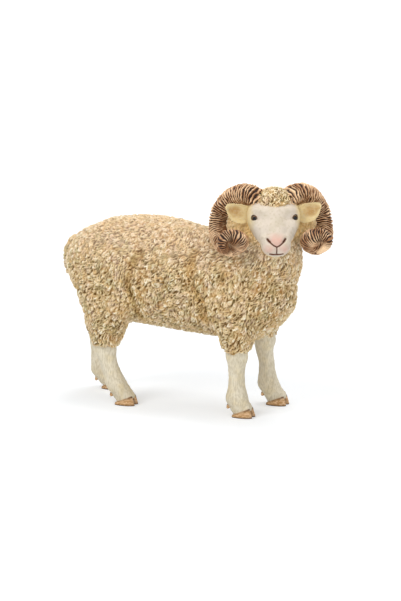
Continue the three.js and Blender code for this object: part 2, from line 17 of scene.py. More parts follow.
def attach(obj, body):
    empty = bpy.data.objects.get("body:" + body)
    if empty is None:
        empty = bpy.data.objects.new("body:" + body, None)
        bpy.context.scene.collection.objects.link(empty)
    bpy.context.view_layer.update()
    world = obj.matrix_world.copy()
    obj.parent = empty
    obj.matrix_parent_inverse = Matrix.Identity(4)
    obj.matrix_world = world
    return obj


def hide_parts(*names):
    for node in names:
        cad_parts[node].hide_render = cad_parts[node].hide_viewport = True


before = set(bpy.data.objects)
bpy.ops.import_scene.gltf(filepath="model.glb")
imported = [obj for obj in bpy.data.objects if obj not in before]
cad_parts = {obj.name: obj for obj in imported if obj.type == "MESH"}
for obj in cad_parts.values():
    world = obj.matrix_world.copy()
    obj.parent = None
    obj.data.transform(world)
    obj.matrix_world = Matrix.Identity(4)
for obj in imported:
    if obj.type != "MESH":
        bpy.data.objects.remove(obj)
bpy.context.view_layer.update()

bl_info = {
    "name": "Toy ram figure",
    "version": (1, 0, 0),
    "blender": (4, 5, 0),
    "location": "View3D > Sidebar > Ram",
    "description": "Builds the fleece, head, horns, legs and hooves of a toy ram on its solids",
    "category": "Add Mesh",
}

MM = 0.001
FIGURE_PLACE = np.array([-2.0322, 3.7813, 0.0])  # of the figure's own axes in the frame, mm

# The barrel of the body: shares of its length, then underside, back and half-width as shares
# of depth and width, and how much narrower the section gets towards the back
BODY_LENGTH, BODY_DEPTH, BODY_WIDTH = 79.6, 38.3, 32.6
BELLY_HEIGHT, BODY_AHEAD, BARREL_POWER = 24.5, 35.0, 2.2
TORSO = [
    (0.0, 0.53, 0.61, 0.1, 0.1),
    (0.012, 0.45, 0.68, 0.32, 0.1),
    (0.05, 0.31, 0.79, 0.61, 0.15),
    (0.12, 0.165, 0.872, 0.83, 0.15),
    (0.2, 0.1, 0.936, 0.93, 0.12),
    (0.32, 0.058, 0.968, 0.98, 0.1),
    (0.46, 0.026, 0.966, 1.0, 0.12),
    (0.6, 0.01, 0.916, 0.985, 0.2),
    (0.73, -0.01, 0.89, 0.94, 0.36),
    (0.83, -0.02, 0.8, 0.87, 0.38),
    (0.91, 0.08, 0.73, 0.73, 0.3),
    (0.96, 0.18, 0.65, 0.53, 0.2),
    (0.99, 0.27, 0.55, 0.28, 0.1),
    (1.0, 0.36, 0.48, 0.1, 0.0),
]
RUMP = BODY_AHEAD - BODY_LENGTH
SPLIT_SHARE = 0.48  # where the hind and fore pieces of the fleece meet
# Folds of the fleece on each flank: points ahead and up, then half-width and depth
FOLDS = [
    ([(-13.5, 53), (-16.5, 46), (-16.8, 40), (-15.2, 34), (-14.5, 28)], 1.35, 1.12),
    ([(-12.0, 51), (-12.6, 45), (-13.0, 40), (-12.2, 35)], 0.7, 0.6),
    ([(4.5, 54), (4.5, 50), (5.2, 45), (8.0, 40), (9.3, 32)], 1.35, 1.12),
]
FOLDS_FROM, FOLDS_OVER = 6, 5  # how far from the middle the folds start, and grow to their depth
CREASE_WIDTH, CREASE_DEPTH = 1.1, 0.25  # where two forms meet
FORM_REACH = 2.2  # how far the points of a piece may move out to the whole form
FLEECE_LEAN = np.array([0.62, 0.05, 1.0])  # way of the curls, before it is turned in patches
CROWN_LEAN = np.array([-0.5, 0.1, 1.0])
FLEECE_SEED, TAIL_SEED, CROWN_SEED = 11, 31, 37
TURN_SIZE, TURN = 6.5, 0.75  # patches in which the curls turn, and by how many radians
BEND_SIZE, BEND = 2.0, 0.5  # waviness of the edges of the locks
SWELL_SIZES, SWELL_SHARE = (5.0, 9.0), 0.6
CURL_ZERO, LOCK_ZERO = 0.45, 0.6  # heights of curls and locks that leave the form as it is
BODY_HEART = (6, 43.0)  # aside and height of the point inside that closes a body piece
# Ragged rim of a limb: how far up it reaches, how far it hangs and wanders, size of its noise,
# and how its skin turns down, over which height
RIM_HEIGHT, RIM_DROP, RIM_WANDER, RIM_NOISE = 1.6, 0.3, 0.9, (1.6, 1.6, 3.0)
RIM_TURN, RIM_TURN_HEIGHT = (0, 0, -1.2), 0.8

# The four limbs: shares of the body's length, from the rump, at which root, hem and foot stand,
# the hem's height as a share, and how late the leg bends forward
HIPS = {
    "front_right": (0.774, 0.8, 0.8315, 1.1, 1),
    "front_left": (0.7865, 0.82, 0.88, 1.18, 0.4),
    "rear_right": (0.221, 0.205, 0.303, 1.0, 1),
    "rear_left": (0.2, 0.078, 0.138, 0.95, 3),
}
HEM_HEIGHT, LIMB_ROOT_HEIGHT, LEG_SEAT_DEPTH = 20.6, 42.0, 1.2
# Taken off a limb's fleece, at its back where it is positive and at its front where it isn't,
# and the share of it at some heights
HEM_TRIM = {"rear_left": 0.85, "rear_right": 0.85, "front_left": -0.45}
TRIM_UP, TRIM_SHARE = [0, 0.3, 0.5, 0.8], [0.6, 1, 1, 0]
TRACK = {"front": 20.0, "rear": 18.6}
LIMB_SIZE = {"front": (19.0, 12.4), "rear": (22.0, 12.4)}
LIMB_POWER, LIMB_LEAN = 2.2, 0.12  # lean: share by which the root is nearer to the middle
LIMB = [
    (-0.04, 0.0, 0.4, 0.62),
    (0.06, 0.01, 0.52, 0.72),
    (0.2, 0.08, 0.63, 0.84),
    (0.42, 0.3, 0.81, 0.95),
    (0.7, 0.6, 0.98, 1.0),
    (1.0, 1.0, 0.96, 0.8),
    (1.2, 1.2, 0.7, 0.4),
    (1.25, 1.25, 0.1, 0.1),
]
HEM_LIP = [(0.1, 0.0, 0.2, 0.34), (0.02, 0.0, 0.3, 0.48)]

# Lower legs: height share of the hem, way from hem to foot, half-length and half-width shares
LEG_THICKNESS, HOOF_LENGTH, HOOF_WIDTH, HOOF_HEIGHT, HOOF_SLOPE = 7.2, 7.0, 5.8, 2.2, 0.36
LEG_ROWS = {
    "front": [
        (-0.04, 0.9, 0.8, 0.7),
        (0.0, 0.85, 0.87, 0.74),
        (0.06, 0.5, 0.99, 0.8),
        (0.13, 0.15, 1.06, 0.88),
        (0.22, 0.05, 0.98, 0.87),
        (0.36, 0.02, 0.78, 0.74),
        (0.52, 0.01, 0.72, 0.71),
        (0.68, 0.0, 0.8, 0.78),
        (0.84, 0.0, 0.98, 0.93),
        (1.0, 0.0, 0.93, 0.9),
        (1.1, 0.0, 0.8, 0.8),
    ],
    "rear": [
        (-0.04, 0.99, 0.8, 0.7),
        (0.0, 0.97, 0.86, 0.74),
        (0.06, 0.85, 0.98, 0.8),
        (0.14, 0.68, 1.1, 0.88),
        (0.24, 0.53, 1.03, 0.87),
        (0.38, 0.38, 0.9, 0.77),
        (0.55, 0.2, 0.83, 0.73),
        (0.74, 0.05, 0.94, 0.8),
        (0.9, 0.0, 1.06, 0.9),
        (1.0, 0.0, 1.06, 0.9),
        (1.08, 0.0, 0.9, 0.8),
    ],
}
FETLOCK_SHARE = 0.12
# Relief of a lower leg: how far it stands out, its height as a share, and its half-height
TENDON, KNEE, PASTERN = (-0.3, 0.46, 0.2), (0.28, 0.8, 0.09), (-0.22, 0.09, 0.04)

# Neck: share of its length, of its lean and turn, thickness fore and aft and across
NECK_LENGTH, NECK_THICKNESS, NECK_LEAN, NECK_TURN = 23.0, 24.0, 10.0, 5.2
NECK_ROOT_HEIGHT, NECK_AHEAD = 46.0, 19.5
NECK = [
    (-0.12, 0.0, 0.0, 1.0, 0.8),
    (0.0, 0.0, 0.0, 1.36, 1.12),
    (0.17, 0.1, 0.0, 1.36, 1.05),
    (0.35, 0.3, 0.15, 1.23, 0.97),
    (0.52, 0.5, 0.38, 1.04, 0.875),
    (0.7, 0.7, 0.62, 0.875, 0.775),
    (0.87, 0.9, 0.88, 0.71, 0.67),
    (1.0, 1.0, 1.0, 0.46, 0.46),
    (1.04, 1.02, 1.02, 0.2, 0.2),
]
NECK_FOOT = [(-0.6, -0.1, 0.0, 0.7, 0.6), (-0.3, -0.05, 0.0, 1.1, 0.9), (-0.14, 0.0, 0.0, 1.26, 1.02)]

# Tail: height over its top, way ahead of the rump, and thickness
TAIL_LENGTH, TAIL_THICKNESS, TAIL_TOP = 13.2, 7.0, 52.84
TAIL = [
    (-1.02, 0.1, 0.05, 0.05),
    (-1.0, 0.1, 0.3, 0.34),
    (-0.9, 0.09, 0.66, 0.7),
    (-0.6, 0.09, 0.94, 1.0),
    (-0.3, 0.11, 0.96, 0.96),
    (-0.05, 0.18, 0.8, 0.8),
    (0.1, 0.3, 0.4, 0.4),
    (0.14, 0.32, 0.05, 0.05),
]

# Head: its own axes start midway between the eyes, +X out of the face
HEAD_PLACE, HEAD_YAW = np.array([32.564, -11.214, 67.536]), math.radians(-63)
HEAD_LENGTH, HEAD_WIDTH, HEAD_DEPTH, HEAD_POWER = 24.5, 16.8, 15.2, 2.15
FACE_SLOPE, LOOK_SLOPE = math.radians(39), math.radians(12.7)
FACE_TOP = (-0.384, 0.232)  # start of the face's axis, in shares of its length
HEAD = [
    (-0.01, 0.05, 0.015, 0.03),
    (0.0, 0.36, 0.09, 0.18),
    (0.04, 0.6, 0.16, 0.32),
    (0.13, 0.83, 0.23, 0.46),
    (0.29, 0.99, 0.31, 0.53),
    (0.45, 1.0, 0.35, 0.53),
    (0.61, 0.84, 0.29, 0.45),
    (0.78, 0.61, 0.25, 0.33),
    (0.9, 0.555, 0.22, 0.275),
    (0.97, 0.42, 0.16, 0.195),
    (1.0, 0.22, 0.08, 0.1),
    (1.01, 0.04, 0.015, 0.02),
]
EYE_PLACE, SOCKET_DEPTH = np.array([1.1, 6.3, 0.0]), 0.35
# Lids: half-width and half-height of their opening, its power, their radius and way out
LID_WIDE, LID_HIGH, LID_POWER, LID_RADIUS, LID_OUT = 1.5, 1.1, 1.15, 0.22, 0.42
CROWN_PLACE, CROWN_SIZE = np.array([-4.9, 0.3, 3.3]), np.array([6.7, 7.0, 5.5])
RUFF_PLACE, RUFF_SIZE = np.array([-9.9, 0.0, -4.4]), np.array([5.4, 14.4, 6.9])
RUFF_POWER = 2.5
# Pale wool round the face: middle, size, and its strength at some heights
PALE_PLACE, PALE_SIZE = np.array([-4, 0, -5]), np.array([10, 13.5, 10])
PALE_UP, PALE_SHARE = [-9, -5.5, 0, 1.5], [0, 1, 1, 0]

# Shapes of the face, square to its look: aside, up, half-width, half-height, rise
FACE_SHAPES = [
    (5.2, 2.4, 2.4, 1.0, 0.5),  # brow
    (4.6, -0.4, 1.7, 1.6, -0.5),  # inner corner of the eye
    (6.6, -3.4, 1.9, 1.5, 0.35),  # cheekbone
    (0.0, -2.8, 2.2, 4.2, 0.5),  # bridge of the nose
    (3.5, -4.9, 1.0, 1.8, -0.4),  # beside the bridge
    (3.5, -6.5, 1.1, 0.8, 0.4),  # wing of the nostril
    (2.2, -10.6, 1.5, 1.1, 0.4),  # muzzle
    (0.0, -8.1, 1.5, 0.9, 0.15),  # nose
    (0.0, -12.9, 2.0, 0.6, 0.0),  # chin
    (0.0, 2.6, 4.0, 1.8, 0.25),  # forehead
]
# Painted grooves of the nose and mouth, on the left half: points, half-width, depth
FACE_LINES = [
    ([(0.0, -9.8), (1.1, -9.2), (2.05, -8.35), (2.7, -7.6), (2.95, -7.25)], 0.34, 0.36),
    ([(2.3, -8.0), (2.7, -7.55), (2.95, -7.15)], 0.56, 0.45),
    ([(0.0, -9.8), (0.05, -12.2)], 0.25, 0.28),
    ([(0.0, -12.25), (1.1, -12.2), (2.15, -12.0)], 0.34, 0.32),
]
# Pink of the nose: its height, half-height and half-width, and the rising line that ends it
NOSE_UP, NOSE_HIGH, NOSE_WIDE, NOSE_LINE = -8.7, 3.5, 2.0, (-9.78, 0.83)
MUZZLE = (2.4, -10.3, 1.7, 1.2)  # its pink: aside, up, half-width, half-height
# Yellow of the cheeks: from where and over what stretch aside, backwards and downwards
CHEEK_ASIDE, CHEEK_BACK, CHEEK_DOWN = (6.4, 1.6), (1.5, 3), (5, 6)
# Size of the noise of the short hair along X, Y and Z, coarse and fine
FACE_HAIR, LEG_HAIR = ((0.6, 0.6, 1.1), (0.35, 0.35, 0.7)), ((0.5, 0.5, 1.5), (0.3, 0.3, 0.8))

# Rings of a claw: shares of the height, of the slope of the top and of the sole's size
CLAW = [
    (0.0, 0.0, 0.6),
    (0.0, 0.0, 0.93),
    (0.03, 0.0, 0.98),
    (0.16, 0.05, 1.0),
    (0.55, 0.5, 0.98),
    (0.92, 1.0, 0.96),
    (1.0, 1.0, 0.88),
    (0.9, 1.0, 0.6),
]
CLAW_POWERS = (0.9, 0.8)  # of the sole's outline, lengthways and across
TOE_SLOPE, TOE_TAPER, TOE_CLOSING = 0.3, 0.3, 0.1  # of a claw's front, its sides and the cleft
CLAW_RING, CLAW_RINGS = 0.05, 38  # depth of the growth rings as a share, and radians up the claw
# SOLE_EDGE places painted shade along the sole; TOP_EDGE a dark rim at the top.
SOLE_EDGE, TOP_EDGE = (0, 0.17), (0.9, 0.12)  # dark edges: height as a share, and half-height

# Left horn, in the head's axes: shares of reach, spread and rise, then of thickness
HORN_REACH, HORN_SPREAD, HORN_RISE, HORN_THICKNESS = 19.0, 33.2, 18.0, 6.6
HORN = [
    (-0.24, 0.24, 0.2, 1.0),
    (-0.29, 0.34, 0.3, 1.0),
    (-0.45, 0.57, 0.33, 1.0),
    (-0.63, 0.81, 0.18, 1.0),
    (-0.73, 0.97, -0.08, 0.98),
    (-0.63, 1.02, -0.35, 0.96),
    (-0.4, 0.96, -0.545, 0.93),
    (-0.13, 0.8, -0.555, 0.9),
    (0.04, 0.67, -0.43, 0.84),
    (0.14, 0.76, -0.33, 0.75),
    (0.17, 0.91, -0.3, 0.65),
    (0.21, 1.02, -0.37, 0.53),
    (0.2, 1.0, -0.49, 0.41),
    (0.14, 0.91, -0.59, 0.29),
    (0.08, 0.82, -0.65, 0.18),
]
HORN_SIDES = {1: (0.7, 0.885), -1: (2.9, 0.95)}  # start of the ridges' wave and of the tip, by side
RIDGE_POWER = 1.7  # more is a narrower ridge
# How the ridges wander, in shares of their pitch: by a wave that turns by some radians along
# the horn, and by noise, given by its seed, share and size
WAVE, WAVE_TURN, WANDERS = 0.25, 23, {91: (0.5, 1.9), 92: (0.24, 0.8)}
# Shares of the horn's length: where the last curl starts and over what, over what the tip
# does, and where it rounds off and over what
LAST_CURL, TIP_OVER, TIP_ROUND = (0.66, 0.08), 0.04, (0.975, 0.0255)

# Left ear, in the head's axes: share of its length, reach up and down from its axis, and cup
EAR_LENGTH, EAR_THICKNESS, EAR_BOW, EAR_HAIR = 8.8, 1.3, 1.15, 0.09
EAR_ROOT, EAR_WAY, EAR_UP = np.array([-4.165, 7.224, -0.735]), (0.2, 1.0, 0.4), (-0.1, -0.14, 1.0)
EAR = [
    (-0.04, 0.6, 0.6, 0.1),
    (0.0, 3.0, 1.5, 0.2),
    (0.15, 3.35, 2.2, 0.5),
    (0.3, 3.1, 2.9, 0.8),
    (0.5, 2.95, 3.25, 1.0),
    (0.73, 2.5, 3.15, 0.9),
    (0.87, 2.1, 2.3, 0.6),
    (0.97, 1.7, 0.9, 0.3),
    (1.015, 1.2, 0.25, 0.1),
    (1.03, 0.3, 0.05, 0.05),
]

# Which way along Y; and of the two claws of a foot
SIDES, CLAW_SIDES = {"left": 1, "right": -1}, {"outer": 1, "inner": -1}

# Rows and columns of points. The fleece's are counted by its grain, along these lengths in mm
TAIL_GRID, CROWN_GRID, HEAD_GRID = (90, 100), (150, 260), (250, 190)
EYE_GRID, LID_GRID, HORN_GRID = (48, 64), (72, 14), (620, 72)
EAR_GRID, LEG_GRID, DEWCLAW_GRID, CLAW_COLUMNS = (90, 80), (150, 84), (24, 28), 72
BARREL_PATH, BARREL_HALF_GIRTH, RUFF_PATH = 136, 56, 34
COARSE = 4  # grains from point to point of the fleece before it is made finer

NEIGHBOURS = list(product((-1, 0, 1), repeat=3))
NOISE_TABLE = 32  # cells each way before the noise repeats
CURL_TABLE = 48  # cells each way before the pattern of the curls repeats
BLOCK = 60000  # points worked out at a time


def painted(red, green, blue):
    """The linear colour of a paint that is given by its 0 to 255 screen values."""
    values = np.array([red, green, blue]) / 255
    linear = np.where(values <= 0.04045, values / 12.92, ((values + 0.055) / 1.055) ** 2.4)
    return tuple(linear.tolist())


def size_property(name, description, default):
    return FloatProperty(
        name=name, description=description, default=default, unit="LENGTH", min=0.0
    )


def colour_property(name, description, *screen):
    return FloatVectorProperty(
        name=name,
        description=description,
        subtype="COLOR",
        size=3,
        min=0.0,
        max=1.0,
        default=painted(*screen),
    )


class RamSizes(PropertyGroup):
    """Sizes of the relief."""

    grain: size_property("Grain", "Between two rows of points on the fleece", 0.0002)
    curl_length: size_property("Curl length", "From end to end of a curl", 0.0018)
    curl_width: size_property("Curl width", "Across a curl", 0.00046)
    curl_wave: size_property("Curl wave", "How far a curl bends to each side", 0.00012)
    curl_depth: size_property("Curl depth", "From the gaps to the crests", 0.00068)
    lock_size: size_property("Lock size", "Across a lock of curls", 0.0022)
    lock_depth: size_property("Lock depth", "From between the locks to their tops", 0.00045)
    swell: size_property("Swell", "Uneven thickness of the fleece", 0.00035)
    fillet: size_property("Fillet", "Over which limbs, neck and body flow together", 0.002)
    ridge_pitch: size_property("Ridge pitch", "From ridge to ridge of a horn", 0.0009)
    ridge_depth: size_property("Ridge depth", "Of a horn's grooves, at its root", 0.0011)
    hair_depth: size_property("Hair depth", "Of the short hair on face and legs", 0.00005)
    eye_radius: size_property("Eye radius", "Of the eyeball", 0.0013)
    cleft: size_property("Cleft", "Between the two claws of a hoof", 0.0005)
    dewclaw: size_property("Dewclaw radius", "Of the small claws behind the foot", 0.00072)


class RamColours(PropertyGroup):
    """Paints of the figure."""

    fleece_crest: colour_property("Fleece crest", "Dry-brushed tops of the curls", 255, 250, 230)
    fleece_side: colour_property("Fleece side", "Flanks of the curls", 228, 201, 154)
    fleece_gap: colour_property("Fleece gap", "Wash between the curls", 104, 74, 32)
    fleece_amber: colour_property("Amber patches", "Warm patches of the wash", 216, 168, 102)
    # Also the painted shade low down on the fleece.
    fleece_olive: colour_property("Olive patches", "Cool patches of the wash", 176, 168, 120)
    # Also the painted light on the upper flanks and back of the fleece.
    fleece_rose: colour_property("Rose patches", "Pale patches of the wash", 224, 196, 172)
    fleece_pale: colour_property("Pale wool", "Wool round the face", 248, 214, 146)
    face_white: colour_property("Face", "Paint of the face", 209, 196, 180)
    face_shade: colour_property("Face shade", "Wash on the face", 186, 174, 148)
    # Also multiplied into the fleece's folds, as wash and painted crease shade.
    cheek_yellow: colour_property("Cheek", "Yellow of the cheeks", 226, 204, 150)
    nose_pink: colour_property("Nose", "Paint of the nose and muzzle", 212, 168, 152)
    line_brown: colour_property("Lines", "Nostrils and mouth", 92, 48, 28)
    horn_crest: colour_property("Horn crest", "Dry-brushed tops of the ridges", 244, 208, 166)
    horn_side: colour_property("Horn side", "Flanks of the ridges", 162, 112, 70)
    horn_groove: colour_property("Horn groove", "Wash in the grooves", 46, 20, 6)
    ear_rim: colour_property("Ear rim", "Paint of the ear", 224, 202, 150)
    ear_hollow: colour_property("Ear hollow", "Inside of the ear", 188, 148, 90)
    leg_white: colour_property("Leg", "Paint of the lower legs", 224, 214, 192)
    leg_wash: colour_property("Leg wash", "Wash in the hair of the legs", 176, 160, 126)
    hoof_horn: colour_property("Hoof", "Paint of the hooves", 184, 138, 84)
    # Painted shade along the soles and in the clefts, and the dark rims at the tops of hooves and
    # dewclaws.
    hoof_rim_and_shade: colour_property("Hoof edge", "Dark edges of the hooves", 52, 31, 16)
    iris: colour_property("Iris", "Ring of the eye", 92, 80, 46)
    pupil: colour_property("Pupil", "Middle of the eye", 12, 9, 8)
    core: colour_property("Core", "Filler inside the body", 140, 143, 146)
    floor: colour_property("Floor", "Floor of the studio", 244, 248, 252)


def in_mm(key):
    """One of the panel's sizes in millimetres."""
    return 1000 * getattr(bpy.context.scene.ram_sizes, key)


def colours():
    return bpy.context.scene.ram_colours


# Curves, grids and fields


def smooth_rows(rows, steps):
    """Rows between the given rows: each column is a Catmull-Rom curve through its values."""
    rows = np.asarray(rows, float)
    padded = np.vstack([rows[:1], rows, rows[-1:]])
    p, q, r, s = (padded[i : len(padded) - 3 + i, None] for i in range(4))
    t = (np.arange(steps) / steps)[None, :, None]
    bend = 2 * p - 5 * q + 4 * r - s + (3 * (q - r) + s - p) * t
    between = q + 0.5 * t * (r - p + t * bend)
    return np.vstack([between.reshape(-1, rows.shape[1]), rows[-1:]])


def evenly(rows, measure, count, weights=1.0):
    """count rows spaced evenly along a curve; measure gives each row's place on the curve.
    Rows are closer where the weights are larger."""
    steps = np.linalg.norm(np.diff(measure, axis=0), axis=1) * weights
    length = np.concatenate([[0], np.cumsum(steps)])
    at = np.linspace(0, length[-1], count)
    return np.stack([np.interp(at, length, column) for column in rows.T], 1)


def finer(grid):
    """A grid whose columns run round, with COARSE times as many rows and columns, on Catmull-Rom
    curves through it."""
    rows, columns, depth = grid.shape
    grid = smooth_rows(grid.reshape(rows, -1), COARSE).reshape(-1, columns, depth)
    sideways = grid.transpose(1, 0, 2)
    sideways = np.concatenate([sideways[-2:], sideways, sideways[:3]])
    flat = smooth_rows(sideways.reshape(len(sideways), -1), COARSE)
    fine = flat.reshape(-1, len(grid), depth).transpose(1, 0, 2)
    return fine[:, 2 * COARSE : (2 + columns) * COARSE]


def unit(vectors):
    return vectors / np.maximum(np.linalg.norm(vectors, axis=-1, keepdims=True), 1e-9)


def signed_power(values, power):
    return np.sign(values) * np.abs(values) ** power


def bell(values, middle, width):
    return np.exp(-(((values - middle) / width) ** 2))


def ramp(values, start, over):
    """0 up to the start, then rising to 1 over the given stretch."""
    return np.clip((values - start) / over, 0, 1)


def upright_columns(table):
    """A table's columns, each as a column that goes with rows of angles."""
    return (column[:, None] for column in table.T)


def ring_angles(count):
    return np.arange(count) * 2 * np.pi / count


def cloud(points, size, seed):
    """Smooth random values from -1 to 1, about size across: random corners of a cubic lattice,
    blended with an S-shaped weight. size may differ along X, Y and Z."""
    cells = (NOISE_TABLE,) * 3
    table = np.random.default_rng(seed).uniform(-1, 1, cells).astype(np.float32)
    scaled = points / np.asarray(size)
    cell = np.floor(scaled).astype(np.int64)
    t = scaled - cell
    t = t * t * (3 - 2 * t)
    total = np.zeros(points.shape[:-1])
    for corner in product((0, 1), repeat=3):
        index = (cell + corner) % NOISE_TABLE
        weight = np.prod(np.where(corner, t, 1 - t), axis=-1)
        total += weight * table[index[..., 0], index[..., 1], index[..., 2]]
    return total


def locks(points, size, seed):
    """0 between two locks and 1 in the middle of one: the difference of the distances to the
    nearest and second nearest of scattered points, one in each cubic cell of the given size."""
    table = np.random.default_rng(seed).random((NOISE_TABLE, NOISE_TABLE, NOISE_TABLE, 3))
    scaled = points / size
    cell = np.floor(scaled).astype(np.int64)
    first = np.full(points.shape[:-1], 9.0)
    second = first.copy()
    for offset in NEIGHBOURS:
        corner = cell + offset
        index = corner % NOISE_TABLE
        jitter = table[index[..., 0], index[..., 1], index[..., 2]]
        far = np.linalg.norm(corner + jitter - scaled, axis=-1)
        second = np.minimum(second, np.maximum(first, far))
        first = np.minimum(first, far)
    edge = ramp(second - first, 0, 0.35)
    return edge * edge * (3 - 2 * edge)


def curls(points, normals, flow, spread, seed):
    """Height, 0 to 1, and tone of moulded curls. Two curls start in each cubic cell. A curl is a
    ridge round a sine wave that runs along the flow, turned by up to spread radians: its section
    is a parabola that narrows towards both ends. The highest curl at a point is the one seen."""
    length, width, wave = in_mm("curl_length"), in_mm("curl_width"), in_mm("curl_wave")
    cell = length / 2
    random = np.random.default_rng(seed).random((CURL_TABLE**3 * 2, 7), dtype=np.float32)
    turn = (random[:, 3] - 0.5) * 2 * spread
    table = np.column_stack(
        [
            random[:, :3],
            np.cos(turn),
            np.sin(turn),
            np.where(random[:, 4] > 0.5, wave, -wave),
            0.62 + 0.38 * random[:, 5],
            random[:, 6],
        ]
    ).astype(np.float32)
    heights, tones = [], []
    for start in range(0, len(points), BLOCK):
        block = slice(start, start + BLOCK)
        p, n, along = (a[block].astype(np.float32) for a in (points, normals, flow))
        across = np.cross(n, along)
        home = np.floor(p / cell)
        height, tone = np.zeros(len(p), np.float32), np.full(len(p), 0.5, np.float32)
        for offset in NEIGHBOURS:
            corner = home + np.array(offset, np.float32)
            i, j, k = (corner.astype(np.int64) % CURL_TABLE).T
            first = 2 * ((i * CURL_TABLE + j) * CURL_TABLE + k)
            for which in (0, 1):
                row = table[first + which]
                q = p - (corner + row[:, :3]) * np.float32(cell)
                lift = (q * n).sum(1) / (0.75 * cell)
                a, b = (q * along).sum(1), (q * across).sum(1)
                a, b = a * row[:, 3] + b * row[:, 4], b * row[:, 3] - a * row[:, 4]
                b = b + row[:, 5] * np.sin(a * (2 * np.pi / length))
                ends = np.sqrt(np.clip(1 - (2 * a / length) ** 2, 0, None))
                section = 1 - (2 * b / (width * (0.35 + 0.65 * ends))) ** 2
                rise = np.clip(section, 0, None) * ends * np.clip(1 - lift * lift, 0, None)
                rise *= row[:, 6]
                higher = rise > height
                height = np.where(higher, rise, height)
                tone = np.where(higher, row[:, 7], tone)
        heights.append(height)
        tones.append(tone)
    return np.concatenate(heights), np.concatenate(tones)


# Closed meshes


def grid_quads(index):
    corners = index[:-1, :-1], index[:-1, 1:], index[1:, 1:], index[1:, :-1]
    return np.stack(corners, -1).reshape(-1, 4)


def tube_faces(rows, columns):
    """Faces of a grid whose last column joins its first, closed at both ends by fans to two
    more points, which follow the grid's."""
    index = np.arange(rows * columns).reshape(rows, columns)
    index = np.hstack([index, index[:, :1]])
    low, high = np.full(columns, rows * columns), np.full(columns, rows * columns + 1)
    first = np.stack([low, index[0, 1:], index[0, :-1]], -1)
    last = np.stack([high, index[-1, :-1], index[-1, 1:]], -1)
    return [grid_quads(index), np.vstack([first, last])]


def tube_points(grid):
    """The grid's points or values, then the mean of its first row and of its last."""
    flat = grid.reshape(-1, grid.shape[-1])
    return np.vstack([flat, grid[0].mean(0), grid[-1].mean(0)])


def patch_faces(rows, columns, first_pole, last_pole):
    """Faces of an open grid, closed by a fan from its edge to one more point inside. Where the
    first or last row is a pole, its first point stands for the whole row."""
    index = np.arange(rows * columns).reshape(rows, columns)
    if first_pole:
        index[0] = index[0, 0]
    if last_pole:
        index[-1] = index[-1, 0]
    quads = grid_quads(index)
    at_first, at_last = quads[:, 0] == quads[:, 1], quads[:, 2] == quads[:, 3]
    edge = np.concatenate([index[0], index[:, -1], index[-1, ::-1], index[::-1, 0]])
    edge = edge[edge != np.roll(edge, 1)]
    heart = np.full(len(edge), rows * columns)
    triangles = [
        quads[at_first][:, [0, 2, 3]],
        quads[at_last][:, [0, 1, 2]],
        np.stack([np.roll(edge, -1), edge, heart], -1),
    ]
    return [quads[~(at_first | at_last)], np.vstack(triangles)]


def link(name, data):
    """A new object of the scene with the given data."""
    made = bpy.data.objects.new(name, data)
    bpy.context.scene.collection.objects.link(made)
    return made


def add_piece(name, points, faces, nodes, paint, fields=None, mirror=False):
    """A smooth mesh of the given faces in the frame, with its fields as attributes of its
    points. It stands for the named solids and rides on the root. mirror turns it inside out,
    for points that were mirrored."""
    used = np.unique(np.concatenate([f.ravel() for f in faces]))
    renumber = np.zeros(len(points), np.int64)
    renumber[used] = np.arange(len(used))
    faces = [renumber[f[:, ::-1] if mirror else f] for f in faces if len(f)]
    mesh = bpy.data.meshes.new(name)
    mesh.vertices.add(len(used))
    placed = (points[used] + FIGURE_PLACE) * MM
    mesh.vertices.foreach_set("co", placed.astype(np.float32).ravel())
    corners = np.concatenate([np.full(len(f), f.shape[1]) for f in faces])
    mesh.loops.add(int(corners.sum()))
    mesh.loops.foreach_set("vertex_index", np.concatenate([f.ravel() for f in faces]))
    mesh.polygons.add(len(corners))
    mesh.polygons.foreach_set("loop_start", np.concatenate([[0], np.cumsum(corners)[:-1]]))
    mesh.update(calc_edges=True)
    mesh.polygons.foreach_set("use_smooth", np.ones(len(corners), bool))
    for field, values in (fields or {}).items():
        attribute = mesh.attributes.new(field, "FLOAT", "POINT")
        attribute.data.foreach_set("value", values[used].astype(np.float32))
    mesh.materials.append(paint)
    piece = link(name, mesh)
    if nodes:
        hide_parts(*nodes)
    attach(piece, "root")


def add_tube(name, grid, nodes, paint, fields=None, mirror=False):
    """A closed tube of a grid of points whose columns run round it; fields are grids too."""
    flat = {key: tube_points(values[..., None])[:, 0] for key, values in (fields or {}).items()}
    faces = tube_faces(*grid.shape[:2])
    add_piece(name, tube_points(grid), faces, nodes, paint, flat, mirror)


def grid_normals(grid):
    """Unit normals of a grid whose columns run round it: across its columns x along its rows."""
    around = np.roll(grid, -1, axis=1) - np.roll(grid, 1, axis=1)
    along = np.gradient(grid, axis=0)
    return unit(np.cross(around, along))


# Paints


class Nodes:
    """The node tree of a material or world."""

    def __init__(self, owner):
        owner.use_nodes = True
        self.nodes, self.links = owner.node_tree.nodes, owner.node_tree.links

    def add(self, kind, settings=None, **inputs):
        made = self.nodes.new(kind)
        for key, value in (settings or {}).items():
            setattr(made, key, value)
        for key, value in inputs.items():
            self.set(made.inputs[key.replace("_", " ")], value)
        return made

    def set(self, socket, value):
        if isinstance(value, bpy.types.NodeSocket):
            self.links.new(value, socket)
        elif socket.type == "RGBA" and len(value) == 3:
            socket.default_value = (*value, 1)
        else:
            socket.default_value = value

    def maths(self, operation, first, second):
        made = self.add("ShaderNodeMath", {"operation": operation})
        self.set(made.inputs[0], first)
        self.set(made.inputs[1], second)
        return made.outputs["Value"]

    def times(self, first, second):
        return self.maths("MULTIPLY", first, second)

    def show(self, output, factor, first, second):
        """Ends the tree with a mixture of two shaders."""
        made = self.add("ShaderNodeMixShader", Fac=factor)
        self.set(made.inputs[1], first.outputs[0])
        self.set(made.inputs[2], second.outputs[0])
        self.set(self.nodes[output].inputs["Surface"], made.outputs[0])


